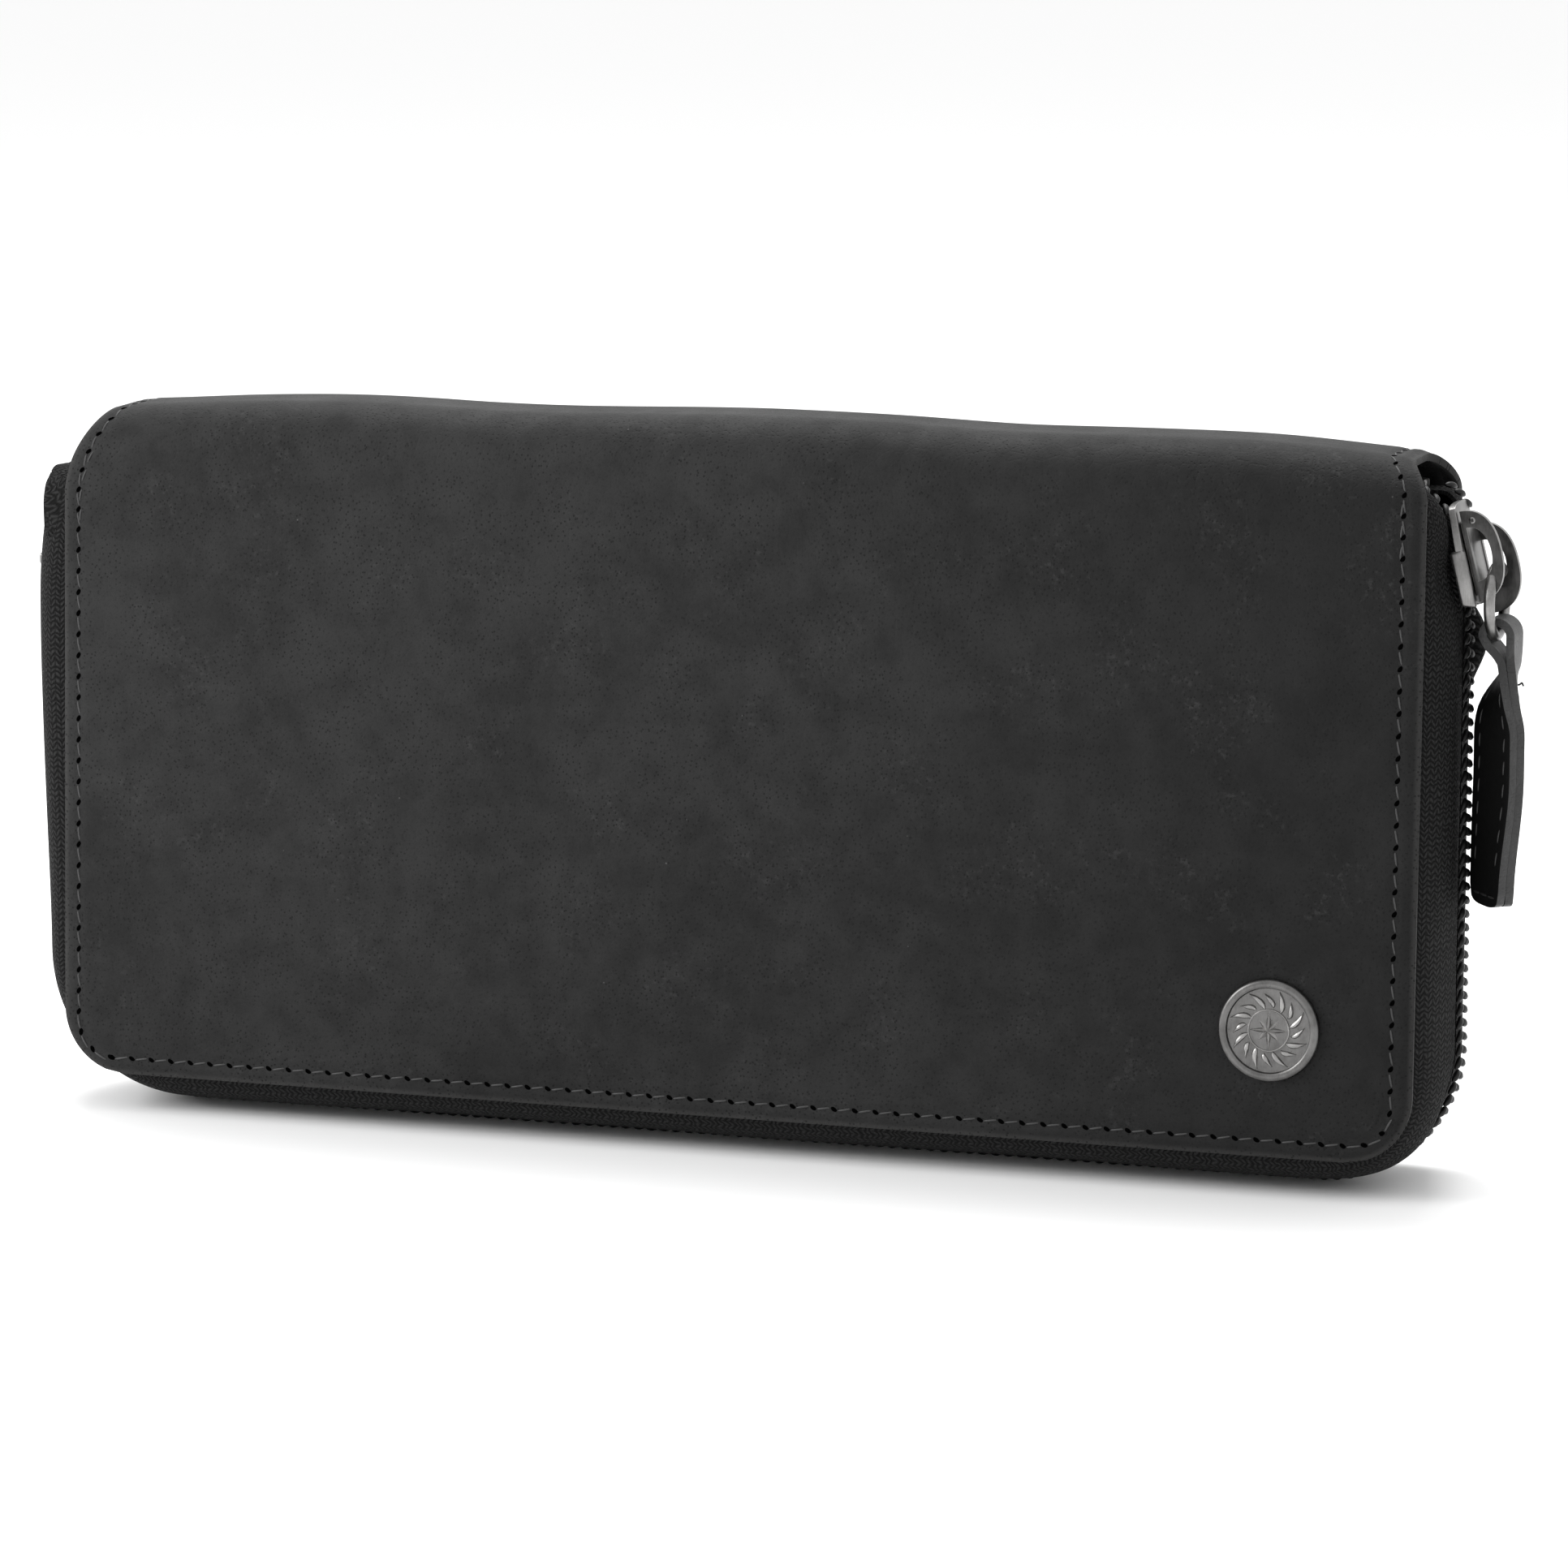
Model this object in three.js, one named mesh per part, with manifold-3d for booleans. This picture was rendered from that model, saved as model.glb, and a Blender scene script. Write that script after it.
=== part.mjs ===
// A zip-around long wallet, closed and standing on its zip edge with the folded spine on top.
// Millimetres. X runs along the wallet (slider end +X), Y through it (front cover -Y), Z up.
import * as THREE from "three";
import { mergeVertices } from "three/addons/utils/BufferGeometryUtils.js";
import Module from "manifold-3d";

const wasm = await Module();
wasm.setup();

// Covers
const COVER_LENGTH = 208;
const COVER_BOTTOM = 6; // height of the covers' lower edge above the zip lobes
const BEND_Z = 98; // where the cover starts to fold over into the spine
const COVER_DROP = 92; // slant height from the bend to the lower edge
const COVER_CORNER = 10;
const LEAN = THREE.MathUtils.degToRad(2.2); // each cover leans out towards the zip
const HALF_SPINE = 11.6; // half the depth of the wallet at the bend
const SPINE_TOP = 107.8;
const SPINE_CORNER = 8;
const SPINE_SHORT = 3; // the spine is cut back this much at each end

// Layers of a cover, counted inwards from its outer face
const GAP = 0.3;
const LEATHER = 1.2;
const BOARD = [1.5, 2.3];
const LINING = [2.6, 3.0];
const PANEL_BACKING = [3.3, 3.7];
const TIER_START = 4.0;
const TIER_STEP = 0.8;
const TIER_THICK = 0.5;
const TIERS = 3;
const TIER_TOP = 10; // closed end of the card tiers, below the bend
const TIER_MOUTH = 72; // mouth of the outermost tier, below the bend
const TIER_SHOW = 14; // how much of each tier stands out past the next
const PANEL_LENGTH = 186;

// The badge sits at the lower right of the front cover, on a washer let into the board.
const BADGE_X = 83.5;
const BADGE_DROP = 73.4; // below the bend, along the cover
const BADGE_RADIUS = 7.5;
const WASHER_RADIUS = 4.5;

// Zip: its route is the outer line of the tape lobes
const ROUTE_RIGHT = 109.2;
const ROUTE_LEFT = -113;
const ROUTE_CORNER = 23;
const ROUTE_TOP_RIGHT = 101;
const ROUTE_TOP_LEFT = 97;
const ROUTE_STEPS = 56;
const TAPE_REACH = 12; // how far the tape runs in under the cover
const TAPE_HALF = 12; // half the zip's depth before it is fitted to the covers
const TAPE_LEVEL = 2; // depth of the tape under a cover's outer face
const CHAIN_HALF = 5; // flat strip on each side of the chain, kept as it is by the fitting
const COIL_OUT = 0.35;
const COIL_IN = 1.75;
const COIL_WIDTH = 2.15;
const COIL_GAP = 0.15;
const PART_Z = 94; // above this height the two coils part
const PART_SLOPE = 0.28;

// Main slider, crown, ring and pull
const SLIDER_LOW = 85.6;
const SLIDER_HIGH = 100.6;
const SLIDER_HALF = 5.1;
const PLATE = 1.1;
const OUTER_PLATE_X = 109.4;
const INNER_PLATE_X = 105.2;
const CROWN_BASE_X = OUTER_PLATE_X + PLATE + GAP;
const CROWN_FOOT = 0.5;
const CROWN_REACH = 5;
const CROWN_RIM = 1.2;
const CROWN_Y = 2.2;
const CHEEK_HALF = 0.45;
const RING_RADIUS = 5;
const RING_WIRE = 0.85;
const RING_X = 112.5;
const RING_Z = 86.3;
const TAB_LENGTH = 40;
const TAB_WIDTH = 9;
const TAB_THICK = 2.6;
const TAB_NECK = 5;

// Coin pocket
const COIN_HALF = 2.1;
const COIN_WALL = 0.4;
const COIN_LENGTH = 184;
const COIN_LOW = 19;
const COIN_HIGH = 96;
const COIN_GUSSET = 0.6;

const leather = new THREE.MeshStandardMaterial({ color: 0x2b2b2b, roughness: 0.85 });
const lining = new THREE.MeshStandardMaterial({ color: 0x1d1d1f, roughness: 0.9 });
const board = new THREE.MeshStandardMaterial({ color: 0x8d8474, roughness: 0.95 });
const tape = new THREE.MeshStandardMaterial({ color: 0x17171a, roughness: 0.95 });
const nylon = new THREE.MeshStandardMaterial({ color: 0x0c0c0e, roughness: 0.3 });
const nickel = new THREE.MeshStandardMaterial({ color: 0xb9b9b4, roughness: 0.35, metalness: 1 });

const wallet = new THREE.Group();

function add(name, geometry, material, group = wallet) {
  const mesh = new THREE.Mesh(geometry, material);
  mesh.name = name;
  group.add(mesh);
  return mesh;
}

function block(x0, x1, y0, y1, z0, z1) {
  const size = new THREE.BoxGeometry(x1 - x0, y1 - y0, z1 - z0);
  return size.translate((x0 + x1) / 2, (y0 + y1) / 2, (z0 + z1) / 2);
}

// A flat sheet whose outline is drawn in X and Z, between two depths.
function sheet(outline, y0, y1) {
  const depth = Math.abs(y1 - y0);
  const made = new THREE.ExtrudeGeometry(outline, { depth, bevelEnabled: false, curveSegments: 8 });
  return made.rotateX(Math.PI / 2).translate(0, Math.max(y0, y1), 0);
}

// A sheet drawn in Y and Z that runs between two places along X.
function along(outline, x0, x1, curveSegments = 8) {
  const made = new THREE.ExtrudeGeometry(outline, { depth: x1 - x0, bevelEnabled: false, curveSegments });
  const swap = new THREE.Matrix4().set(0, 0, 1, x0, 1, 0, 0, 0, 0, 1, 0, 0, 0, 0, 0, 1);
  return made.applyMatrix4(swap);
}

function polygon(points) {
  return new THREE.Shape(points.map(([x, y]) => new THREE.Vector2(x, y)));
}

// A panel hanging from z = top to z = bottom, with rounded lower corners.
function panelOutline(length, top, bottom, corner) {
  const x = length / 2;
  const shape = new THREE.Shape();
  shape.moveTo(-x, top);
  shape.lineTo(-x, bottom + corner);
  shape.absarc(-x + corner, bottom + corner, corner, Math.PI, 1.5 * Math.PI, false);
  shape.absarc(x - corner, bottom + corner, corner, 1.5 * Math.PI, 2 * Math.PI, false);
  shape.lineTo(x, top);
  shape.closePath();
  return shape;
}

function toSolid(geometry) {
  const bare = geometry.clone();
  bare.deleteAttribute("normal");
  bare.deleteAttribute("uv");
  const merged = mergeVertices(bare, 1e-4);
  return new wasm.Manifold(new wasm.Mesh({
    numProp: 3,
    vertProperties: merged.attributes.position.array,
    triVerts: new Uint32Array(merged.index.array),
  }));
}

function fromSolid(solid) {
  const mesh = solid.getMesh();
  const geometry = new THREE.BufferGeometry();
  geometry.setAttribute("position", new THREE.BufferAttribute(mesh.vertProperties, 3));
  geometry.setIndex(new THREE.BufferAttribute(mesh.triVerts, 1));
  geometry.computeVertexNormals();
  return geometry;
}

// One piece out of several that overlap, less the cutters.
function joined(pieces, cutters = []) {
  let solid = toSolid(pieces[0]);
  for (const piece of pieces.slice(1)) solid = solid.add(toSolid(piece));
  for (const cutter of cutters) solid = solid.subtract(toSolid(cutter));
  return fromSolid(solid);
}

// Half the depth of the wallet, outer face to middle, at a height.
function halfDepth(z) {
  const low = Math.max(z, COVER_BOTTOM);
  return HALF_SPINE + Math.max(0, BEND_Z - low) * Math.tan(LEAN);
}

// The leaning frame of a cover: side -1 is the front, +1 the back.
function coverFrame(side) {
  const frame = new THREE.Group();
  frame.position.set(0, side * HALF_SPINE, BEND_Z);
  frame.rotation.x = side * LEAN;
  wallet.add(frame);
  return frame;
}

function layer(side, outline, [outer, inner]) {
  return sheet(outline, -side * outer, -side * inner);
}

function roundHole(shape, x, y, radius) {
  const hole = new THREE.Path();
  hole.absarc(x, y, radius, 0, 2 * Math.PI, true);
  shape.holes.push(hole);
  return shape;
}

function badgeDisc() {
  const profile = [[0, 0], [1, 0], [1, 0.9], [0.95, 1.3], [0.85, 1.3], [0.81, 0.8], [0.33, 1.0], [0, 1.3]];
  const points = profile.map(([share, height]) => new THREE.Vector2(share * BADGE_RADIUS, height));
  return new THREE.LatheGeometry(points, 32).rotateX(Math.PI);
}

// Cover, stiffener, lining and card panel of one half, outside first.
function coverStack(side, name) {
  const frame = coverFrame(side);
  const cover = panelOutline(COVER_LENGTH, 0, -COVER_DROP, COVER_CORNER);
  add(`${name}_cover`, layer(side, cover, [0, LEATHER]), leather, frame);

  const stiffener = panelOutline(COVER_LENGTH - 18, -2, 9 - COVER_DROP, 4);
  if (side < 0) roundHole(stiffener, BADGE_X, -BADGE_DROP, WASHER_RADIUS + GAP);
  add(`${name}_board`, layer(side, stiffener, BOARD), board, frame);

  const inside = panelOutline(COVER_LENGTH - 3, -1, 1.5 - COVER_DROP, COVER_CORNER - 1);
  add(`${name}_lining`, layer(side, inside, LINING), lining, frame);

  const backing = panelOutline(PANEL_LENGTH, -6, -80, 2);
  add(`${name}_card_backing`, layer(side, backing, PANEL_BACKING), lining, frame);
  for (let tier = 0; tier < TIERS; tier++) {
    const outline = panelOutline(PANEL_LENGTH - 2, -TIER_TOP, TIER_SHOW * tier - TIER_MOUTH, 1);
    const outer = TIER_START + tier * TIER_STEP;
    add(`${name}_card_tier_${tier + 1}`, layer(side, outline, [outer, outer + TIER_THICK]), leather, frame);
  }
  return frame;
}

// The line of the fold over the top, from the front leg to the back leg.
function archLine(inset, legEnd) {
  const half = HALF_SPINE - inset;
  const corner = SPINE_CORNER - inset;
  const centre = SPINE_TOP - SPINE_CORNER;
  const line = new THREE.Path();
  line.moveTo(-half, legEnd);
  line.absarc(corner - half, centre, corner, Math.PI, Math.PI / 2, true);
  line.absarc(half - corner, centre, corner, Math.PI / 2, 0, true);
  line.lineTo(half, legEnd);
  return line.getPoints(6);
}

// The leather folds over the top in a flattened arch. Its legs end just above the covers.
function archOutline(inset, thickness, legEnd) {
  const outside = archLine(inset, legEnd);
  const inside = archLine(inset + thickness, legEnd).reverse();
  return new THREE.Shape([...outside, ...inside]);
}

function spine() {
  const half = COVER_LENGTH / 2 - SPINE_SHORT;
  add("spine_leather", along(archOutline(0, LEATHER, BEND_Z + GAP), -half, half), leather);
  add("spine_lining", along(archOutline(LEATHER + GAP, 0.4, BEND_Z + GAP), 9 - half, half - 9), lining);
}

// The zip's route: down the right end, along the bottom and up the left end.
class ZipRoute extends THREE.Curve {
  constructor() {
    super();
    const corner = ROUTE_CORNER;
    this.flat = new THREE.Path();
    this.flat.moveTo(ROUTE_RIGHT, ROUTE_TOP_RIGHT);
    this.flat.lineTo(ROUTE_RIGHT, corner);
    this.flat.absarc(ROUTE_RIGHT - corner, corner, corner, 0, -Math.PI / 2, true);
    this.flat.lineTo(ROUTE_LEFT + corner, 0);
    this.flat.absarc(ROUTE_LEFT + corner, corner, corner, -Math.PI / 2, -Math.PI, true);
    this.flat.lineTo(ROUTE_LEFT, ROUTE_TOP_LEFT);
  }
  getPoint(t) {
    const point = this.flat.getPointAt(t);
    return new THREE.Vector3(point.x, 0, point.y);
  }
}

// Fits the zip to the covers: its edges follow their lean, and above the slider the coils part.
function fitZip(geometry, side) {
  const at = geometry.attributes.position;
  for (let i = 0; i < at.count; i++) {
    const z = at.getZ(i);
    let y = Math.abs(at.getY(i));
    const edge = halfDepth(z) - TAPE_LEVEL;
    const parting = at.getX(i) > 0 ? Math.max(0, z - PART_Z) * PART_SLOPE : 0;
    const fitted = CHAIN_HALF + (y - CHAIN_HALF) * (edge - CHAIN_HALF) / (TAPE_HALF - CHAIN_HALF);
    if (y > CHAIN_HALF) y = fitted;
    y += parting * Math.max(0, 1 - y / edge);
    at.setY(i, side * y);
  }
  return geometry;
}

// A section in (distance in from the route, distance from the middle), swept along the route.
function zipStrip(section, side) {
  const outline = polygon(section.map(([inwards, out]) => [-side * out, inwards]));
  const swept = new THREE.ExtrudeGeometry(outline, {
    steps: ROUTE_STEPS,
    extrudePath: new ZipRoute(),
    bevelEnabled: false,
  });
  return fitZip(swept, side);
}

function zipSide(side, name) {
  const tapeSection = [
    [2.05, 0.5], [2.05, 5], [0, 6.6], [0, 9.8], [4, 12.25], [TAPE_REACH, 12.25],
    [TAPE_REACH, 11.75], [4.4, 11.75], [0.6, 9.5], [0.6, 7], [2.6, 5.4], [2.6, 0.5],
  ];
  const coilSection = [
    [COIL_OUT + 0.4, COIL_GAP], [COIL_OUT, COIL_GAP + 0.5], [COIL_OUT, COIL_GAP + COIL_WIDTH - 0.5],
    [COIL_OUT + 0.4, COIL_GAP + COIL_WIDTH], [COIL_IN, COIL_GAP + COIL_WIDTH], [COIL_IN, COIL_GAP],
  ];
  add(`${name}_zip_tape`, zipStrip(tapeSection, side), tape);
  add(`${name}_zip_coil`, zipStrip(coilSection, side), nylon);

  const parted = (ROUTE_TOP_RIGHT - PART_Z) * PART_SLOPE;
  const y0 = side * (COIL_GAP + parted);
  const y1 = side * (COIL_GAP + parted + COIL_WIDTH);
  const low = ROUTE_TOP_RIGHT + GAP;
  const x1 = ROUTE_RIGHT - COIL_OUT;
  const stop = block(ROUTE_RIGHT - COIL_IN, x1, Math.min(y0, y1), Math.max(y0, y1), low, low + 2);
  add(`${name}_top_stop`, stop, nickel);
}

function bottomStop() {
  const half = COIL_GAP + COIL_WIDTH;
  const low = ROUTE_TOP_LEFT + GAP;
  const x0 = ROUTE_LEFT + COIL_OUT;
  add("bottom_stop", block(x0, ROUTE_LEFT + COIL_IN, -half, half, low, low + 2.5), nickel);
}

// Slider: two plates joined by a post at the parting end, the outer one with side flanges.
function sliderBody() {
  const plateOutline = new THREE.Shape();
  const waist = SLIDER_HALF - 0.9;
  plateOutline.moveTo(-waist, SLIDER_HIGH);
  plateOutline.lineTo(-SLIDER_HALF, (SLIDER_LOW + SLIDER_HIGH) / 2);
  plateOutline.lineTo(-SLIDER_HALF, SLIDER_LOW + 1.5);
  plateOutline.lineTo(1.5 - SLIDER_HALF, SLIDER_LOW);
  plateOutline.lineTo(SLIDER_HALF - 1.5, SLIDER_LOW);
  plateOutline.lineTo(SLIDER_HALF, SLIDER_LOW + 1.5);
  plateOutline.lineTo(SLIDER_HALF, (SLIDER_LOW + SLIDER_HIGH) / 2);
  plateOutline.lineTo(waist, SLIDER_HIGH);
  const outer = along(plateOutline, OUTER_PLATE_X, OUTER_PLATE_X + PLATE);
  const inner = along(plateOutline, INNER_PLATE_X, INNER_PLATE_X + 1);
  const post = block(INNER_PLATE_X, OUTER_PLATE_X + 0.5, -0.7, 0.7, SLIDER_HIGH - 3.2, SLIDER_HIGH);
  const flanges = [-1, 1].map((side) => {
    const y = side * (SLIDER_HALF - 0.4);
    return block(107.6, OUTER_PLATE_X + 0.5, y - 0.4, y + 0.4, SLIDER_LOW + 1.5, SLIDER_LOW + 8.4);
  });
  return joined([outer, inner, post, ...flanges]);
}

// Crown: two D-shaped cheeks with windows on a common foot. The ring hangs through both windows.
function sliderCrown() {
  const low = SLIDER_LOW + 0.6;
  const high = SLIDER_HIGH - 1.2;
  const middle = (low + high) / 2;
  const cheek = new THREE.Shape();
  cheek.absellipse(CROWN_BASE_X, middle, CROWN_REACH, (high - low) / 2, -Math.PI / 2, Math.PI / 2, false, 0);
  cheek.closePath();
  const window = new THREE.Shape();
  const wide = CROWN_REACH - CROWN_FOOT - CROWN_RIM;
  const tall = (high - low) / 2 - 1.9;
  window.absellipse(CROWN_BASE_X + CROWN_FOOT, middle, wide, tall, -Math.PI / 2, Math.PI / 2, false, 0);
  window.closePath();
  cheek.holes.push(new THREE.Path(window.getPoints(8).reverse()));
  const cheeks = [-1, 1].map((side) => {
    const y = side * CROWN_Y;
    return sheet(cheek, y - CHEEK_HALF, y + CHEEK_HALF);
  });
  const footHalf = CROWN_Y + CHEEK_HALF;
  const foot = block(CROWN_BASE_X, CROWN_BASE_X + CROWN_FOOT, -footHalf, footHalf, low + 1, high - 1);
  return joined([foot, ...cheeks]);
}

function pullRing() {
  const ring = new THREE.TorusGeometry(RING_RADIUS, RING_WIRE, 10, 28);
  return ring.rotateY(Math.PI / 2).translate(RING_X, 0, RING_Z);
}

// Pull: a strip folded round the ring, narrow at its loop, with a rounded lower end.
function pullTab() {
  const top = RING_Z - RING_RADIUS + 2.6;
  const low = top - TAB_LENGTH;
  const half = TAB_WIDTH / 2;
  const face = new THREE.Shape();
  face.moveTo(-TAB_NECK / 2, top);
  face.lineTo(-TAB_NECK / 2, top - 5);
  face.lineTo(-half, top - 10);
  face.lineTo(-half, low + half);
  face.absarc(0, low + half, half, Math.PI, 2 * Math.PI, false);
  face.lineTo(half, top - 10);
  face.lineTo(TAB_NECK / 2, top - 5);
  face.lineTo(TAB_NECK / 2, top);
  face.closePath();
  const strip = along(face, RING_X - TAB_THICK / 2, RING_X + TAB_THICK / 2, 6);
  const loopCentre = RING_Z - RING_RADIUS + 0.2;
  const loop = new THREE.Shape().absarc(RING_X, loopCentre, 2.6, 0, 2 * Math.PI, false);
  const hole = new THREE.Shape().absarc(RING_X, loopCentre, 1.65, 0, 2 * Math.PI, false);
  const bulge = sheet(loop, -TAB_NECK / 2, TAB_NECK / 2);
  const above = block(RING_X - 4, RING_X + 4, -half, half, loopCentre + 1.2, top + 3);
  const trimmed = joined([strip], [above]);
  return joined([trimmed, bulge], [sheet(hole, -half, half)]);
}

// Coin pocket between the two bill compartments: two panels, a gusset strip and its own small zip.
function coinPocket() {
  const half = COIN_LENGTH / 2;
  const panel = panelOutline(COIN_LENGTH, COIN_HIGH, COIN_LOW, 0.5);
  const outer = COIN_HALF + COIN_WALL;
  add("coin_front_panel", sheet(panel, -outer, -COIN_HALF), lining);
  add("coin_rear_panel", sheet(panel, COIN_HALF, outer), lining);
  const gusset = polygon([
    [-half, COIN_LOW + 1], [-half, COIN_HIGH], [half, COIN_HIGH], [half, COIN_LOW + 1],
    [half - COIN_GUSSET, COIN_LOW + 1], [half - COIN_GUSSET, COIN_HIGH - COIN_GUSSET],
    [COIN_GUSSET - half, COIN_HIGH - COIN_GUSSET], [COIN_GUSSET - half, COIN_LOW + 1],
  ].reverse());
  add("coin_gusset", sheet(gusset, GAP - COIN_HALF, COIN_HALF - GAP), lining);

  for (const [side, name] of [[-1, "front"], [1, "rear"]]) {
    const strip = [side * 0.45, side * outer].sort((a, b) => a - b);
    const coil = [side * COIL_GAP, side * 2].sort((a, b) => a - b);
    add(`coin_${name}_tape`, block(2 - half, 85, ...strip, COIN_LOW - 0.8, COIN_LOW - 0.4), tape);
    add(`coin_${name}_coil`, block(4 - half, 84.5, ...coil, COIN_LOW - 2.4, COIN_LOW - 1.1), nylon);
  }
  add("coin_stop", block(1.2 - half, 3.7 - half, -2, 2, COIN_LOW - 2.4, COIN_LOW - 1.1), nickel);
}

// The coin zip's slider with its crown, and the puller whose end bar lies under the crown.
function coinSlider() {
  const outer = block(78, 87, -2.6, 2.6, COIN_LOW - 3.7, COIN_LOW - 2.8);
  const inner = block(79, 87, -1.5, 1.5, COIN_LOW - 0.1, COIN_LOW + 0.6);
  const post = block(85.5, 87, -0.6, 0.6, COIN_LOW - 3, COIN_LOW);
  const arch = block(79.5, 86, -0.8, 0.8, COIN_LOW - 6.4, COIN_LOW - 3.6);
  const window = block(80.5, 85, -1, 1, COIN_LOW - 5.6, COIN_LOW - 3.7);
  add("coin_slider", joined([joined([arch], [window]), outer, inner, post]), nickel);

  const middle = COIN_LOW - 4.7;
  const bar = new THREE.CylinderGeometry(0.5, 0.5, 4.4, 10).translate(82.7, 0, middle);
  const blade = block(66, 83.2, -2.2, 2.2, middle - 0.4, middle + 0.4);
  const eye = block(77.8, 84, -1.4, 1.4, middle - 1, middle + 1);
  add("coin_puller", joined([joined([blade], [eye]), bar]), nickel);
}

// Folded bellows at the two ends stop the covers from falling open past their range.
function bellows(end, endName, side, sideName) {
  const x = (distance) => end * distance;
  const fold = [[93.5, -2.9], [99.5, -4.1], [93.5, -5.3], [93.5, -4.85], [98.2, -4.1], [93.5, -3.35]];
  const outline = polygon(fold.map(([out, y]) => [x(out), -side * y]));
  const height = 50;
  const made = new THREE.ExtrudeGeometry(outline, { depth: height, bevelEnabled: false });
  add(`${endName}_bellows_${sideName}`, made.translate(0, 0, 42), lining);
}

const front = coverStack(-1, "front");
coverStack(1, "back");
spine();
zipSide(-1, "front");
zipSide(1, "rear");
bottomStop();

const badge = add("badge", badgeDisc(), nickel, front);
badge.position.set(BADGE_X, -GAP, -BADGE_DROP);
const washerMiddle = (BOARD[0] + BOARD[1]) / 2;
const washer = new THREE.CylinderGeometry(WASHER_RADIUS, WASHER_RADIUS, BOARD[1] - BOARD[0], 24);
add("badge_washer", washer, nickel, front).position.set(BADGE_X, washerMiddle, -BADGE_DROP);

add("slider_body", sliderBody(), nickel);
add("slider_crown", sliderCrown(), nickel);
add("pull_ring", pullRing(), nickel);
add("pull_tab", pullTab(), leather);

coinPocket();
coinSlider();
for (const [end, endName] of [[1, "right"], [-1, "left"]]) {
  bellows(end, endName, -1, "front");
  bellows(end, endName, 1, "rear");
}

// The origin is the middle of the footprint, on the surface that the wallet stands on.
wallet.updateMatrixWorld(true);
const bounds = new THREE.Box3().setFromObject(wallet, true);
const middle = bounds.getCenter(new THREE.Vector3());
wallet.position.set(-middle.x, -middle.y, -bounds.min.z);

export default wallet;
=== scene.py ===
import math

import bpy
from mathutils import Matrix, Vector, noise


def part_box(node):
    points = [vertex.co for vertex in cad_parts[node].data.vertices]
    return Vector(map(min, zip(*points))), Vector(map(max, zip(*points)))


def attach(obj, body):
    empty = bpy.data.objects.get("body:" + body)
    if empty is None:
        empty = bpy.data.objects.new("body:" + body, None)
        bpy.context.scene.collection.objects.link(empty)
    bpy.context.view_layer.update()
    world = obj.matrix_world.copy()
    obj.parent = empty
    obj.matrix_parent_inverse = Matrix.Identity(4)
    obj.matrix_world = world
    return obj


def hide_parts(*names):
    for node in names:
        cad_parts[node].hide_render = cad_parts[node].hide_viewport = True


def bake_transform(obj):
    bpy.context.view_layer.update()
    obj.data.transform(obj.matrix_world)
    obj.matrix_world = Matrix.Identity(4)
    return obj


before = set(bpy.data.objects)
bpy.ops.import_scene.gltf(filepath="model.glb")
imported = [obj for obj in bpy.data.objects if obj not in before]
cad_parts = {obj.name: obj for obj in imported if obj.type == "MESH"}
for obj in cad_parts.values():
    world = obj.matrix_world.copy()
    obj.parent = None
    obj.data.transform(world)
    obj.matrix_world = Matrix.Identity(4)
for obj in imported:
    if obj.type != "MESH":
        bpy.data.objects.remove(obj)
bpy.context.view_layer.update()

# ---- Outer leather -------------------------------------------------------------------------
# One hide of black nubuck covers the front, the spine and the back. It is cut with rounded
# corners and drawn in a little at both ends of the spine, then sewn down all round its edge.

MM = 0.001
front_low, front_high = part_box("front_cover")
spine_low, spine_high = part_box("spine_leather")
middle_x = (front_low[0] + front_high[0]) / 2 - 0.35 * MM
middle_y = (spine_low[1] + spine_high[1]) / 2
half_length = (front_high[0] - front_low[0]) / 2 + 0.95 * MM
half_spine = (spine_high[1] - spine_low[1]) / 2
half_zip = middle_y - front_low[1]
cover_low = front_low[2]
bend_z = front_high[2]
spine_top = spine_high[2]
lean = math.atan2(half_zip - half_spine, bend_z - cover_low)
cover_drop = (bend_z - cover_low) / math.cos(lean)
fold_radius = 8 * MM
leather_thick = 1.15 * MM
cover_corner = 10 * MM

leg = spine_top - fold_radius - bend_z
turn = fold_radius * math.pi / 2
flat = 2 * (half_spine - fold_radius)
hide_length = 2 * (cover_drop + leg + turn) + flat


def ease(value):
    value = min(1.0, max(0.0, value))
    return value * value * (3 - 2 * value)


def fold_line(s):
    """Place and outward normal, in Y and Z, at a length s from the front's lower edge."""
    if s > hide_length / 2:
        y, z, ny, nz = fold_line(hide_length - s)
        return -y, z, -ny, nz
    if s < cover_drop:
        y = s * math.sin(lean) - half_zip
        return y, cover_low + s * math.cos(lean), -math.cos(lean), math.sin(lean)
    s -= cover_drop
    if s < leg:
        return -half_spine, bend_z + s, -1.0, 0.0
    s -= leg
    if s < turn:
        angle = s / fold_radius
        ny, nz = -math.cos(angle), math.sin(angle)
        return fold_radius - half_spine + fold_radius * ny, bend_z + leg + fold_radius * nz, ny, nz
    s -= turn
    return fold_radius - half_spine + s, spine_top, 0.0, 1.0


def half_at(s, end):
    """Half the length of the hide at s: it is drawn in at the spine, most at the left end."""
    to_fold = min(s, hide_length - s) - cover_drop
    if end > 0:
        return half_length - 3.4 * MM * ease((to_fold - 4 * MM) / (11 * MM))
    return half_length - 5.5 * MM * ease((to_fold + 3.6 * MM) / (19 * MM))


def edge_distance(x, s):
    """How far a place on the hide lies from its cut edge."""
    across = half_at(s, x) - abs(x)
    down = min(s, hide_length - s)
    if across < cover_corner and down < cover_corner:
        return cover_corner - math.hypot(cover_corner - across, cover_corner - down)
    return min(across, down)


stitch_margin = {"left": 2.4 * MM, "right": 3.2 * MM, "lower": 2.5 * MM}


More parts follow.
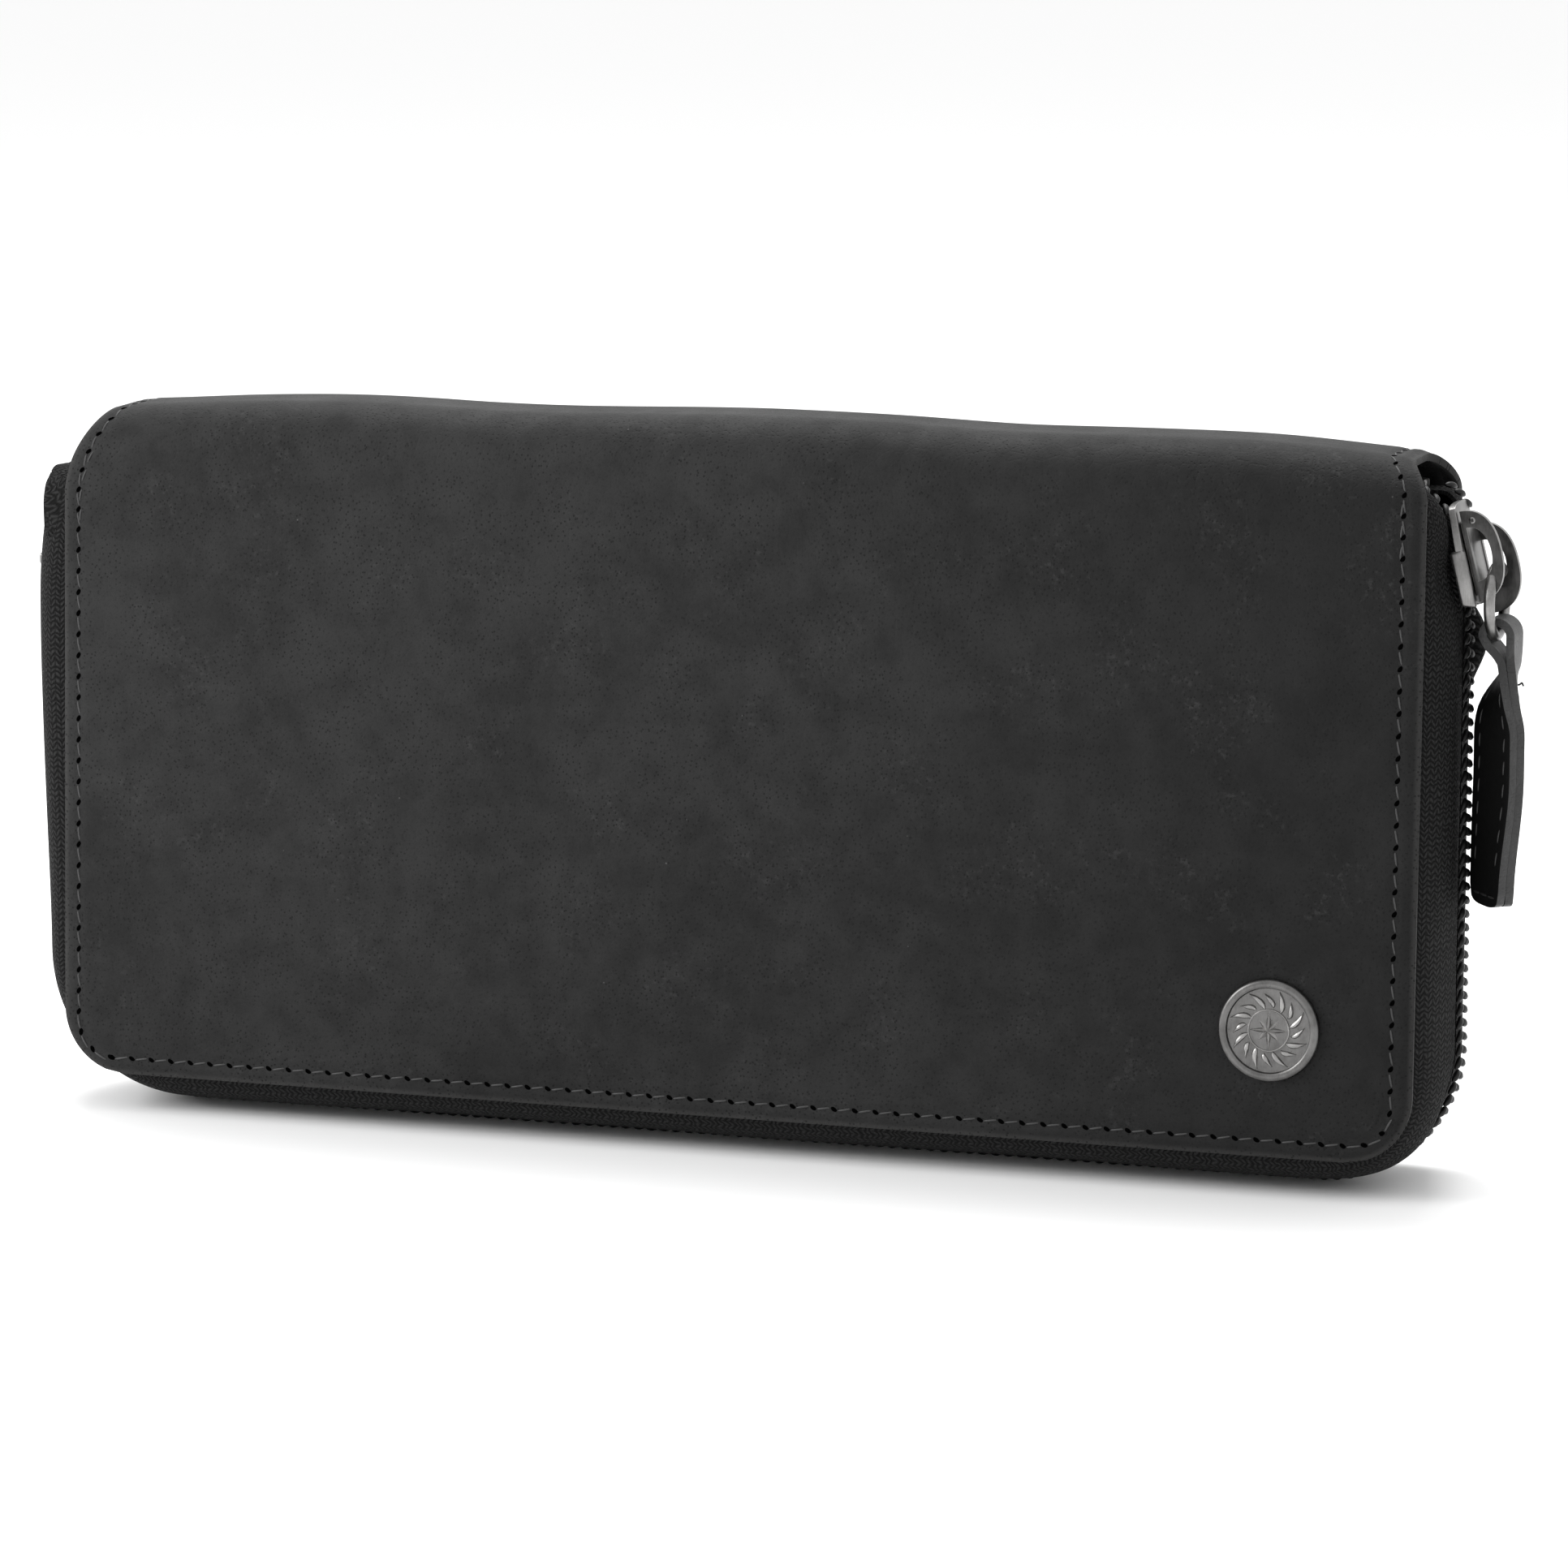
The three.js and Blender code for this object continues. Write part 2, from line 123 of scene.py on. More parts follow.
def relief(x, s):
    """How far the leather stands out: pressed in along the seam, turned in at the edge."""
    away = edge_distance(x, s)
    margin = stitch_margin["right" if x > 0 else "left"]
    if min(s, hide_length - s) < half_at(s, x) - abs(x):
        margin = stitch_margin["lower"]
    seam = -0.26 * math.exp(-((away - margin) / (0.75 * MM)) ** 2)
    rolled = -0.45 * (1 - ease(away / (2.2 * MM)))
    inside = ease((away - 4 * MM) / (30 * MM))
    wave = noise.noise(Vector((x * 17, s * 21, 0.3))) * 0.55
    wave += noise.noise(Vector((x * 48, s * 55, 4.1))) * 0.16
    return (seam + rolled + inside * (wave + 0.25)) * MM


def spine_sag(x, z):
    """The fold isn't held by a board: it crowns in the middle and drops towards both ends."""
    share = x / half_length
    crown = 0.8 * math.cos(share * 1.5) - 0.9 * share ** 4 + 0.35 * math.sin(share * 9 + 1.0)
    return crown * MM * ease((z - bend_z + 14 * MM) / (24 * MM))


def hide_place(x, s, lift=0.0):
    """A place on the outer face of the hide in the wallet's frame, lifted along its normal."""
    y, z, ny, nz = fold_line(s)
    out = relief(x, s) + lift
    z += nz * out
    return Vector((middle_x + x, middle_y + y + ny * out, z + spine_sag(x, z)))


def deselect_all():
    if bpy.context.object and bpy.context.object.mode != "OBJECT":
        bpy.ops.object.mode_set(mode="OBJECT")
    bpy.ops.object.select_all(action="DESELECT")


def make_active(piece):
    deselect_all()
    piece.select_set(True)
    bpy.context.view_layer.objects.active = piece


def apply_modifiers(piece):
    make_active(piece)
    for modifier in list(piece.modifiers):
        bpy.ops.object.modifier_apply(modifier=modifier.name)


def face_outwards(piece, merge=0.0):
    """Recalculates a mesh's normals, after its doubles are merged."""
    make_active(piece)
    bpy.ops.object.mode_set(mode="EDIT")
    bpy.ops.mesh.select_all(action="SELECT")
    if merge:
        bpy.ops.mesh.remove_doubles(threshold=merge)
    bpy.ops.mesh.normals_make_consistent(inside=False)
    bpy.ops.object.mode_set(mode="OBJECT")


def add_modifier(piece, kind, **settings):
    modifier = piece.modifiers.new(kind.lower(), kind)
    for name, value in settings.items():
        setattr(modifier, name, value)
    return modifier


def round_edges(piece, width, segments, sharpest):
    """Bevels the edges that are sharper than an angle in degrees."""
    angle = math.radians(sharpest)
    settings = {"width": width, "segments": segments, "limit_method": "ANGLE", "angle_limit": angle}
    add_modifier(piece, "BEVEL", **settings)


def smooth_below(degrees):
    """Shades the active piece smooth, but for its sharper edges."""
    bpy.ops.object.shade_smooth_by_angle(angle=math.radians(degrees))


def spaced(length, band, fine, coarse):
    """Places from 0 to length, close together in a band at both ends."""
    edge = [i * fine for i in range(round(band / fine))]
    count = round((length - 2 * band) / coarse)
    inside = [band + i * (length - 2 * band) / count for i in range(count + 1)]
    return edge + inside + [length - place for place in reversed(edge)]


def sheet_grid(name, columns, rows, place):
    """A grid of len(columns) by len(rows) points, each moved to place(column, row)."""
    deselect_all()
    bpy.ops.mesh.primitive_grid_add(x_subdivisions=len(columns) - 1, y_subdivisions=len(rows) - 1, size=1)
    piece = bpy.context.object
    piece.name = name
    for point in piece.data.vertices:
        column = round((point.co.x + 0.5) * (len(columns) - 1))
        row = round((point.co.y + 0.5) * (len(rows) - 1))
        point.co = place(columns[column], rows[row])
    return piece


columns = [x - half_length for x in spaced(2 * half_length, 12 * MM, 0.6 * MM, 1.5 * MM)]
fine_step = 0.6 * MM
fold_count = round((hide_length - 2 * cover_drop + 6 * MM) / fine_step)
fold_rows = [cover_drop - 3 * MM + i * 0.6 * MM for i in range(fold_count)]
rows = spaced(hide_length, 12 * MM, fine_step, 1.6 * MM)
rows = [s for s in rows if not fold_rows[0] - 0.4 * MM < s < fold_rows[-1] + 0.4 * MM]
rows = sorted(rows + fold_rows)


def in_outline(x, s):
    """The grid's columns drawn in to the rounded corners and the ends of the spine."""
    down = min(s, hide_length - s)
    half = half_at(s, x)
    if down < cover_corner:
        half += math.sqrt(cover_corner ** 2 - (cover_corner - down) ** 2) - cover_corner
    return x * half / half_length


hide = sheet_grid("outer_leather", columns, rows, lambda x, s: hide_place(in_outline(x, s), s))
seam_map = hide.data.attributes.new("edge_distance", "FLOAT", "POINT")
lengthways = hide.data.attributes.new("hide_place", "FLOAT_VECTOR", "POINT")
for index in range(len(hide.data.vertices)):
    s = rows[index // len(columns)]
    x = in_outline(columns[index % len(columns)], s)
    seam_map.data[index].value = edge_distance(x, s)
    lengthways.data[index].vector = (x, s, 0)
if hide.data.polygons[0].normal.y > 0:
    hide.data.flip_normals()
add_modifier(hide, "SOLIDIFY", thickness=leather_thick, offset=-1)
round_edges(hide, 0.3 * MM, 2, 50)
apply_modifiers(hide)
smooth_below(40)


def feed(shader, socket, value):
    """Sets a shader node's socket to a value, or to the output of another node."""
    if isinstance(value, bpy.types.NodeSocket):
        shader.id_data.links.new(value, shader.inputs[socket])
    else:
        shader.inputs[socket].default_value = value


def node(tree, kind, inputs=None, **settings):
    made = tree.nodes.new(kind)
    for name, value in settings.items():
        setattr(made, name, value)
    for name, value in (inputs or {}).items():
        feed(made, name, value)
    return made


def maths(tree, operation, first, second=0.0, third=0.0):
    made = node(tree, "ShaderNodeMath", operation=operation)
    for index, value in enumerate((first, second, third)):
        feed(made, index, value)
    return made.outputs[0]


def times(tree, first, second):
    return maths(tree, "MULTIPLY", first, second)


def plus(tree, first, second):
    return maths(tree, "ADD", first, second)


def minus(tree, first, second):
    return maths(tree, "SUBTRACT", first, second)


def between(tree, value, low, high, to_low=0.0, to_high=1.0):
    inputs = {"Value": value, "From Min": low, "From Max": high, "To Min": to_low, "To Max": to_high}
    return node(tree, "ShaderNodeMapRange", inputs, interpolation_type="SMOOTHSTEP").outputs[0]


def mixed(tree, share, first, second):
    made = node(tree, "ShaderNodeMix", data_type="RGBA")
    for index, value in ((0, share), (6, first), (7, second)):
        feed(made, index, value)
    return made.outputs[2]


def grey(value, warm=0.0):
    return (value * (1 + warm), value, value * (1 - warm), 1.0)


def new_material(name):
    made = bpy.data.materials.new(name)
    made.use_nodes = True
    return made, made.node_tree, made.node_tree.nodes["Principled BSDF"]


def group_tree(name, inputs, outputs):
    tree = bpy.data.node_groups.new(name, "ShaderNodeTree")
    for label, kind in inputs:
        tree.interface.new_socket(label, in_out="INPUT", socket_type=kind)
    for label, kind in outputs:
        tree.interface.new_socket(label, in_out="OUTPUT", socket_type=kind)
    return tree, node(tree, "NodeGroupInput"), node(tree, "NodeGroupOutput")


def place_group(tree, group, inputs):
    made = node(tree, "ShaderNodeGroup", node_tree=group)
    for name, value in inputs.items():
        feed(made, name, value)
    return made


def object_place(tree):
    return node(tree, "ShaderNodeTexCoord").outputs["Object"]


def roughen(tree, surface, height, strength, distance):
    """Gives a surface a relief from a height map."""
    inputs = {"Height": height, "Strength": strength, "Distance": distance}
    feed(surface, "Normal", node(tree, "ShaderNodeBump", inputs).outputs[0])


def axes(tree, where):
    return node(tree, "ShaderNodeSeparateXYZ", {"Vector": where}).outputs


def seen_flat(tree, where, across):
    """The place on an upright face: its way across, and its height."""
    parts = axes(tree, where)
    return node(tree, "ShaderNodeCombineXYZ", {"X": parts[across], "Y": parts["Z"]}).outputs[0]


def noise_at(tree, where, scale, detail=3.0, roughness=0.55):
    inputs = {"Vector": where, "Scale": scale, "Detail": detail, "Roughness": roughness}
    return node(tree, "ShaderNodeTexNoise", inputs).outputs[0]


def cells_at(tree, where, scale, feature="F1", dimensions="3D"):
    inputs = {"Vector": where, "Scale": scale}
    settings = {"feature": feature, "voronoi_dimensions": dimensions}
    return node(tree, "ShaderNodeTexVoronoi", inputs, **settings).outputs["Distance"]


# Nubuck grain: soft clouds of tone, open hair pores in loose clusters, and fine creases.
nubuck, into, out = group_tree(
    "nubuck_grain",
    [("Vector", "NodeSocketVector"), ("Flat", "NodeSocketVector")],
    [("Tone", "NodeSocketFloat"), ("Pores", "NodeSocketFloat"), ("Height", "NodeSocketFloat")],
)
where, on_skin = into.outputs["Vector"], into.outputs["Flat"]
clouds = noise_at(nubuck, where, 34, 4, 0.6)
streaks = noise_at(nubuck, where, 210, 3, 0.6)
nap = noise_at(nubuck, where, 2600, 3, 0.7)
hair_gap = between(nubuck, cells_at(nubuck, on_skin, 1050, dimensions="2D"), 0.09, 0.21)
hair = minus(nubuck, 1.0, hair_gap)
cluster = between(nubuck, noise_at(nubuck, where, 150, 2), 0.3, 0.6, 0.25, 1.0)
pores = times(nubuck, hair, cluster)
fine_gap = between(nubuck, cells_at(nubuck, on_skin, 1900, dimensions="2D"), 0.07, 0.2)
fine_hair = minus(nubuck, 1.0, fine_gap)
pores = maths(nubuck, "MAXIMUM", pores, times(nubuck, fine_hair, 0.45))
creases = between(nubuck, cells_at(nubuck, where, 430, "DISTANCE_TO_EDGE"), 0.0, 0.09)
tone = plus(nubuck, times(nubuck, clouds, 0.45), times(nubuck, streaks, 0.35))
tone = plus(nubuck, tone, times(nubuck, nap, 0.2))
height = maths(nubuck, "MULTIPLY_ADD", creases, 0.25, times(nubuck, nap, 0.5))
height = minus(nubuck, height, times(nubuck, pores, 0.6))
feed(out, "Tone", tone)
feed(out, "Pores", pores)
feed(out, "Height", height)

leather, tree, surface = new_material("black_nubuck")
coordinates = object_place(tree)
skin = node(tree, "ShaderNodeAttribute", attribute_name="hide_place").outputs["Vector"]
grain = place_group(tree, nubuck, {"Vector": coordinates, "Flat": skin})
edge = node(tree, "ShaderNodeAttribute", attribute_name="edge_distance").outputs["Fac"]
shade = mixed(tree, between(tree, grain.outputs["Tone"], 0.34, 0.66), grey(0.009), grey(0.0195))
# Painted shade: the hide is painted darker towards its right end, in place of the key light falling off
# across it.
painted_falloff_x = axes(tree, coordinates)["X"]
shade = mixed(tree, between(tree, painted_falloff_x, 0, 105 * MM, 0, 0.55), shade, grey(0.003))
scuffed = between(tree, noise_at(tree, coordinates, 950, 4, 0.7), 0.52, 0.7)
scuff_place = between(tree, noise_at(tree, coordinates, 75, 3), 0.46, 0.66)
scuffs = times(tree, times(tree, scuffed, scuff_place), 0.5)
shade = mixed(tree, scuffs, shade, grey(0.036))
# Within 1 mm of the cut edge the hide turns lighter: partly edge wear, partly a painted highlight along the
# edge.
edge_wear_and_highlight = times(tree, between(tree, edge, 1.0 * MM, 0.2 * MM), 0.35)
shade = mixed(tree, edge_wear_and_highlight, shade, grey(0.05, 0.02))
lint_cells = cells_at(tree, coordinates, 150)
lint = times(tree, between(tree, lint_cells, 0.028, 0.012), 0.5)
shade = mixed(tree, lint, shade, grey(0.12))
shade = mixed(tree, times(tree, grain.outputs["Pores"], 0.85), shade, grey(0.003))
feed(surface, "Base Color", shade)
rough = between(tree, grain.outputs["Tone"], 0.3, 0.7, 0.68, 0.56)
feed(surface, "Roughness", rough)
roughen(tree, surface, grain.outputs["Height"], 0.55, 0.12 * MM)
feed(surface, "Specular IOR Level", 0.14)
feed(surface, "Sheen Weight", 0.05)
feed(surface, "Sheen Roughness", 0.4)


def coat(piece, *materials):
    piece.data.materials.clear()
    for material in materials:
        piece.data.materials.append(material)


coat(hide, leather)

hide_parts("front_cover", "spine_leather", "back_cover")
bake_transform(hide)

# ---- Perimeter seam ------------------------------------------------------------------------
# Bonded black thread in a lockstitch of 3.2 mm, one loop round the whole hide. Each stitch
# slants a little and dives into a needle hole, and the ends are tacked twice near the spine.

stitch_pitch = 3.2 * MM
thread_radius = 0.17 * MM


def seam_route():
    """The sewing line, closely spaced, as places on the hide."""
    corner = 5.5 * MM
    step = 0.2 * MM
    lower = stitch_margin["lower"]
    ends = {1: stitch_margin["right"], -1: stitch_margin["left"]}
    side = {}
    for end, margin in ends.items():
        count = int((hide_length - 2 * lower - 2 * corner) / step)
        heights = [lower + corner + i * step for i in range(count)]
        side[end] = [(end * (half_at(s, end) - margin), s) for s in heights]
    width = int((2 * half_length - ends[1] - ends[-1] - 2 * corner) / step)
    bottom = [(ends[-1] + corner - half_length + i * step, lower) for i in range(width)]

    def bend(end, s_centre, first, last):
        x_centre = end * (half_length - ends[end] - corner)
        angles = [first + (last - first) * i / 40 for i in range(1, 40)]
        return [(x_centre + corner * math.cos(a), s_centre + corner * math.sin(a)) for a in angles]

    low, high = lower + corner, hide_length - lower - corner
    half_turn = math.pi / 2
    route = bottom + bend(1, low, -half_turn, 0) + side[1] + bend(1, high, 0, half_turn)
    route += [(x, hide_length - lower) for x, s in reversed(bottom)]
    route += bend(-1, high, half_turn, 2 * half_turn) + side[-1][::-1]
    return route + bend(-1, low, math.pi, 1.5 * math.pi)


def every(route, pitch):
    """Places along a route, pitch apart, with the direction there."""
    found, gone = [], 0.0
    for (x0, s0), (x1, s1) in zip(route, route[1:]):
        length = math.hypot(x1 - x0, s1 - s0)
        while gone <= length and length > 0:
            share = gone / length
            place = x0 + (x1 - x0) * share, s0 + (s1 - s0) * share
            found.append((*place, (x1 - x0) / length, (s1 - s0) / length))
            gone += pitch
        gone -= length
    return found


def template(add, shape=lambda co: co):
    """The points and faces of a primitive, shaped, to be laid many times."""
    deselect_all()
    add()
    piece = bpy.context.object
    points = [shape(point.co.copy()) for point in piece.data.vertices]
    faces = [list(face.vertices) for face in piece.data.polygons]
    bpy.data.objects.remove(piece, do_unlink=True)
    return points, faces


def in_scene(name, data):
    made = bpy.data.objects.new(name, data)
    bpy.context.collection.objects.link(made)
    return made


def laid(name, copies):
    """One mesh from (template, matrix or function) pairs."""
    points, faces = [], []
    for (shape_points, shape_faces), placed in copies:
        start = len(points)
        points += [placed(point) for point in shape_points]
        faces += [[start + index for index in face] for face in shape_faces]
    mesh = bpy.data.meshes.new(name)
    mesh.from_pydata(points, [], faces)
    mesh.polygons.foreach_set("use_smooth", [True] * len(mesh.polygons))
    return in_scene(name, mesh)


def thread_bow(point):
    """A capsule along X that rises in the middle and dives at both ends."""
    along = point.x * 1.45 * MM
    dive = 0.62 * (abs(point.x) ** 3)
    return Vector((along, point.y * thread_radius, (point.z * 0.9 + 0.15 - dive * 3.4) * thread_radius))


def ball_along_x(segments, rings, shape):
    """A ball with its poles on X, shaped, to be laid many times."""
    settings = {"segments": segments, "ring_count": rings, "radius": 1, "rotation": (0, math.pi / 2, 0)}
    add = lambda: bpy.ops.mesh.primitive_uv_sphere_add(**settings)
    return template(add, lambda co: shape(Vector((co.z, co.x, co.y))))


thread_piece = ball_along_x(6, 8, thread_bow)
hole_piece = template(lambda: bpy.ops.mesh.primitive_uv_sphere_add(segments=12, ring_count=4, radius=1))


def on_hide(x, s, dx, ds, slant=0.0):
    """Lays a small shape flat on the hide, its X along (dx, ds)."""
    turned_x = dx * math.cos(slant) - ds * math.sin(slant)
    turned_s = dx * math.sin(slant) + ds * math.cos(slant)

    def placed(point):
        x_there = x + point.x * turned_x - point.y * turned_s
        s_there = s + point.x * turned_s + point.y * turned_x
        return hide_place(x_there, s_there, point.z)

    return placed


route = seam_route()
needle_places = every(route, stitch_pitch)
# The needle holes are flat near-black dots laid on the hide: painted shade standing in for real holes.
hole_size = Vector((0.56, 0.34, 0.1))
threads, holes = [], []
for index, (x, s, dx, ds) in enumerate(needle_places):
    vary = noise.noise(Vector((index * 1.7, 0.5, 0.2)))
    centre_x, centre_s = x + dx * stitch_pitch / 2, s + ds * stitch_pitch / 2
    threads.append((thread_piece, on_hide(centre_x, centre_s, dx, ds, 0.17 + 0.08 * vary)))
    hole_at = on_hide(x, s, dx, ds, -0.5)
    holes.append((hole_piece, lambda point, at=hole_at: at(point * hole_size * MM)))
tack_reach = 11 * MM
for index, (x, s, dx, ds) in enumerate(needle_places):
    near_fold = abs(min(s, hide_length - s) - cover_drop + 2 * MM) < tack_reach / 2
    if near_fold and abs(x) > half_length / 2:
        beside = 0.26 * MM * (1 if x > 0 else -1)
        threads.append((thread_piece, on_hide(x - beside, s + 0.3 * stitch_pitch * ds, dx, ds, -0.12)))
seam = laid("perimeter_seam", threads)
needle_hole_shade_dots = laid("needle_hole_shade_dots", holes)

thread, tree, surface = new_material("bonded_thread")
coordinates = object_place(tree)
ply = noise_at(tree, coordinates, 4200, 2)
feed(surface, "Base Color", mixed(tree, ply, grey(0.012), grey(0.042)))
roughen(tree, surface, ply, 0.6, 0.08 * MM)
feed(surface, "Roughness", 0.5)
coat(seam, thread)

# Painted shade: near-black and without specular, for the dots that stand in for the needle holes.
hole_painted_shade, tree, surface = new_material("needle_hole")
speck = noise_at(tree, object_place(tree), 3000, 1)
feed(surface, "Base Color", mixed(tree, speck, grey(0.0004), grey(0.0015)))
feed(surface, "Roughness", 0.95)
feed(surface, "Specular IOR Level", 0.0)
coat(needle_hole_shade_dots, hole_painted_shade)
for piece, slot in ((seam, "thread"), (needle_hole_shade_dots, "leather")):
    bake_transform(piece)

# ---- Stiffeners, lining and card panels ----------------------------------------------------
# Each half is stiffened with grey pressed board, lined with black twill, and carries a stepped
# card panel in the same nubuck. These layers are flat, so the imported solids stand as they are.

weave, into, out = group_tree(
    "twill_weave_with_groove_shade",
    [("Vector", "NodeSocketVector"), ("Pitch", "NodeSocketFloat")],
    [("Height", "NodeSocketFloat"), ("Tone", "NodeSocketFloat")],
)
apart = axes(weave, into.outputs["Vector"])
across = maths(weave, "DIVIDE", apart["X"], into.outputs["Pitch"])
down = maths(weave, "DIVIDE", apart["Z"], into.outputs["Pitch"])
rib = maths(weave, "SINE", times(weave, plus(weave, across, down), 2 * math.pi))
pick = maths(weave, "SINE", times(weave, minus(weave, across, down), 4 * math.pi))
cloth_height = maths(weave, "MULTIPLY_ADD", rib, 0.35, maths(weave, "MULTIPLY_ADD", pick, 0.15, 0.5))
feed(out, "Height", cloth_height)
slub = noise_at(weave, into.outputs["Vector"], 300, 2)
# The weave's Tone follows its relief: painted shade in the grooves between the ribs, and real tone from the
# slubs.
tone = maths(weave, "MULTIPLY_ADD", slub, 0.4, times(weave, cloth_height, 0.6))
feed(out, "Tone", tone)

twill, tree, surface = new_material("black_twill_lining")
coordinates = object_place(tree)
cloth = place_group(tree, weave, {"Vector": coordinates, "Pitch": 0.9 * MM})
# The lining's darker grooves are painted shade, carried by the weave's Tone.
feed(surface, "Base Color", mixed(tree, cloth.outputs["Tone"], grey(0.008), grey(0.034)))
roughen(tree, surface, cloth.outputs["Height"], 0.6, 0.12 * MM)
feed(surface, "Roughness", 0.8)
feed(surface, "Sheen Weight", 0.15)

pressed_board, tree, surface = new_material("pressed_board")
coordinates = object_place(tree)
fibres = noise_at(tree, coordinates, 900, 5, 0.7)
feed(surface, "Base Color", mixed(tree, fibres, grey(0.16, 0.1), grey(0.32, 0.1)))
feed(surface, "Roughness", 0.95)

panel_leather, tree, surface = new_material("card_panel_leather")
coordinates = object_place(tree)
grain = place_group(tree, nubuck, {"Vector": coordinates, "Flat": seen_flat(tree, coordinates, "X")})
shade = mixed(tree, between(tree, grain.outputs["Tone"], 0.32, 0.68), grey(0.022), grey(0.038))
feed(surface, "Base Color", mixed(tree, grain.outputs["Pores"], shade, grey(0.009)))
roughen(tree, surface, grain.outputs["Height"], 0.5, 0.1 * MM)
feed(surface, "Roughness", between(tree, grain.outputs["Tone"], 0.3, 0.7, 0.66, 0.5))


def dress(material, *names):
    """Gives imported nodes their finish."""
    for name in names:
        coat(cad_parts[name], material)


both = ("front", "back")
dress(twill, *[f"{half}_lining" for half in both], "spine_lining")
dress(twill, *[f"{half}_card_backing" for half in both])
dress(pressed_board, *[f"{half}_board" for half in both])
dress(panel_leather, *[f"{half}_card_tier_{tier}" for half in both for tier in (1, 2, 3)])

# ---- Zip tapes -----------------------------------------------------------------------------
# Two knitted polyester tapes, 0.55 mm thick, run round three sides. Each comes out from under
# its cover and slopes down to lie flat under its coil. Above the slider they part and curl in
# under the spine, the front one earlier than the rear one.

tape_low, tape_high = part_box("rear_zip_tape")
line_right, line_left = tape_high[0], tape_low[0] - 1.0 * MM
right_corner, left_corner = 21 * MM, 24 * MM
tape_thick = 0.55 * MM
bend_start = {-1: 91 * MM, 1: 95 * MM}
bend_radius = {-1: 15 * MM, 1: 9 * MM}
curl_reach = math.radians(52)
part_start = 90.5 * MM
left_bend, left_top, left_bow = 77 * MM, 96.5 * MM, 80 * MM


def straight(x0, z0, x1, z1, steps):
    """Points on a line, without the first."""
    shares = [i / steps for i in range(1, steps + 1)]
    return [(x0 + (x1 - x0) * share, z0 + (z1 - z0) * share) for share in shares]


def arc(x, z, radius, first, last, steps):
    """Points on a circle from one angle to another, without the first."""
    angles = [first + (last - first) * i / steps for i in range(1, steps + 1)]
    return [(x + radius * math.cos(angle), z + radius * math.sin(angle)) for angle in angles]


def zip_line(side):
    """The line of the lobes from the tunnel at the right, round below, to the left end."""
    radius, start = bend_radius[side], bend_start[side]
    quarter, tight, hook = math.pi / 2, 4 * MM, 2.2 * MM
    x = line_right - radius + (radius - tight) * math.cos(curl_reach)
    z = start + (radius - tight) * math.sin(curl_reach)
    line = [(x - 8 * MM, z + tight)] + straight(x - 8 * MM, z + tight, x, z + tight, 8)
    line += arc(x, z, tight, quarter, curl_reach, 8)
    line += arc(line_right - radius, start, radius, curl_reach, 0, 24)
    drop = int((start - right_corner) / (1.2 * MM))
    line += straight(line_right, start, line_right, right_corner, drop)
    x, end_x = line_right - right_corner, line_left + left_corner
    line += arc(x, right_corner, right_corner, 0, -quarter, 40)
    line += straight(x, 0.0, end_x, 0.0, int((x - end_x) / (1.5 * MM)))
    line += arc(end_x, left_corner, left_corner, -quarter, -2 * quarter, 30)
    rise = int((left_bend - left_corner) / (1.2 * MM))
    line += straight(line_left, left_corner, line_left, left_bend, rise)
    for i in range(1, 15):
        up = (left_top - left_bend) * i / 14
        line.append((line_left + left_bow - math.sqrt(left_bow ** 2 - up ** 2), left_bend + up))
    x, top = line[-1][0] + hook, left_top + hook
    line += arc(x, left_top, hook, 2 * quarter, quarter, 8)
    line += straight(x, top, x + 6 * MM, top, 6)
    return [(x + slack(x, z), z) for x, z in line]


def slack(x, z):
    """The zip hangs in a little towards the lower corners of both ends."""
    most = 0.2 * MM if x > 0 else 1.4 * MM
    return -math.copysign(most, x) * ease((74 * MM - z) / (52 * MM)) * ease((abs(x) - 55 * MM) / (40 * MM))


def inward(line, index):
    """The unit direction from the line in towards the middle of the wallet."""
    x0, z0 = line[max(0, index - 1)]
    x1, z1 = line[min(len(line) - 1, index + 1)]
    length = math.hypot(x1 - x0, z1 - z0)
    return (z1 - z0) / length, -(x1 - x0) / length


def half_depth(z):
    """From the wallet's middle plane to a cover's outer face."""
    return half_spine + max(0.0, bend_z - max(z, cover_low)) * math.tan(lean)


def parting(x, z):
    """How far a coil has left the middle plane above the slider."""
    return 3.4 * MM * ease((z - part_start) / (15 * MM)) if x > 0 else 0.0


def smooth_through(points, steps):
    """A Catmull-Rom curve through points."""
    padded = [points[0], *points, points[-1]]
    curve = []
    for p0, p1, p2, p3 in zip(padded, padded[1:], padded[2:], padded[3:]):
        for i in range(steps):
            t = i / steps
            curve.append(tuple(
                0.5 * (
                    2 * b + (c - a) * t + (2 * a - 5 * b + 4 * c - d) * t * t
                    + (3 * b - a - 3 * c + d) * t ** 3
                )
                for a, b, c, d in zip(p0, p1, p2, p3)
            ))
    return curve + [tuple(points[-1])]


def tape_section(upright, corner=0.0):
    """(inward, out from the middle) in mm for a full-depth tape, fuller below and at corners."""
    swell = 0.5 * (1 - upright)
    full = swell + 1.5 * corner
    return [
        (1.85, 0.35), (1.8, 1.5), (1.75 - 0.5 * corner, 2.7),
        (1.9 - swell / 2 - 1.3 * corner, 4.6), (2.5 - full, 6.8), (3.3 - full, 8.9),
        (4.4 - full, 10.6), (5.9 - corner, 11.8), (8.0, 12.1), (11.5, 12.15),
    ]


section_count = len(smooth_through(tape_section(0), 4))
tape_corner_mm = 12.0
slider_middle_z, bulge_middle_z = 91.5 * MM, 80 * MM


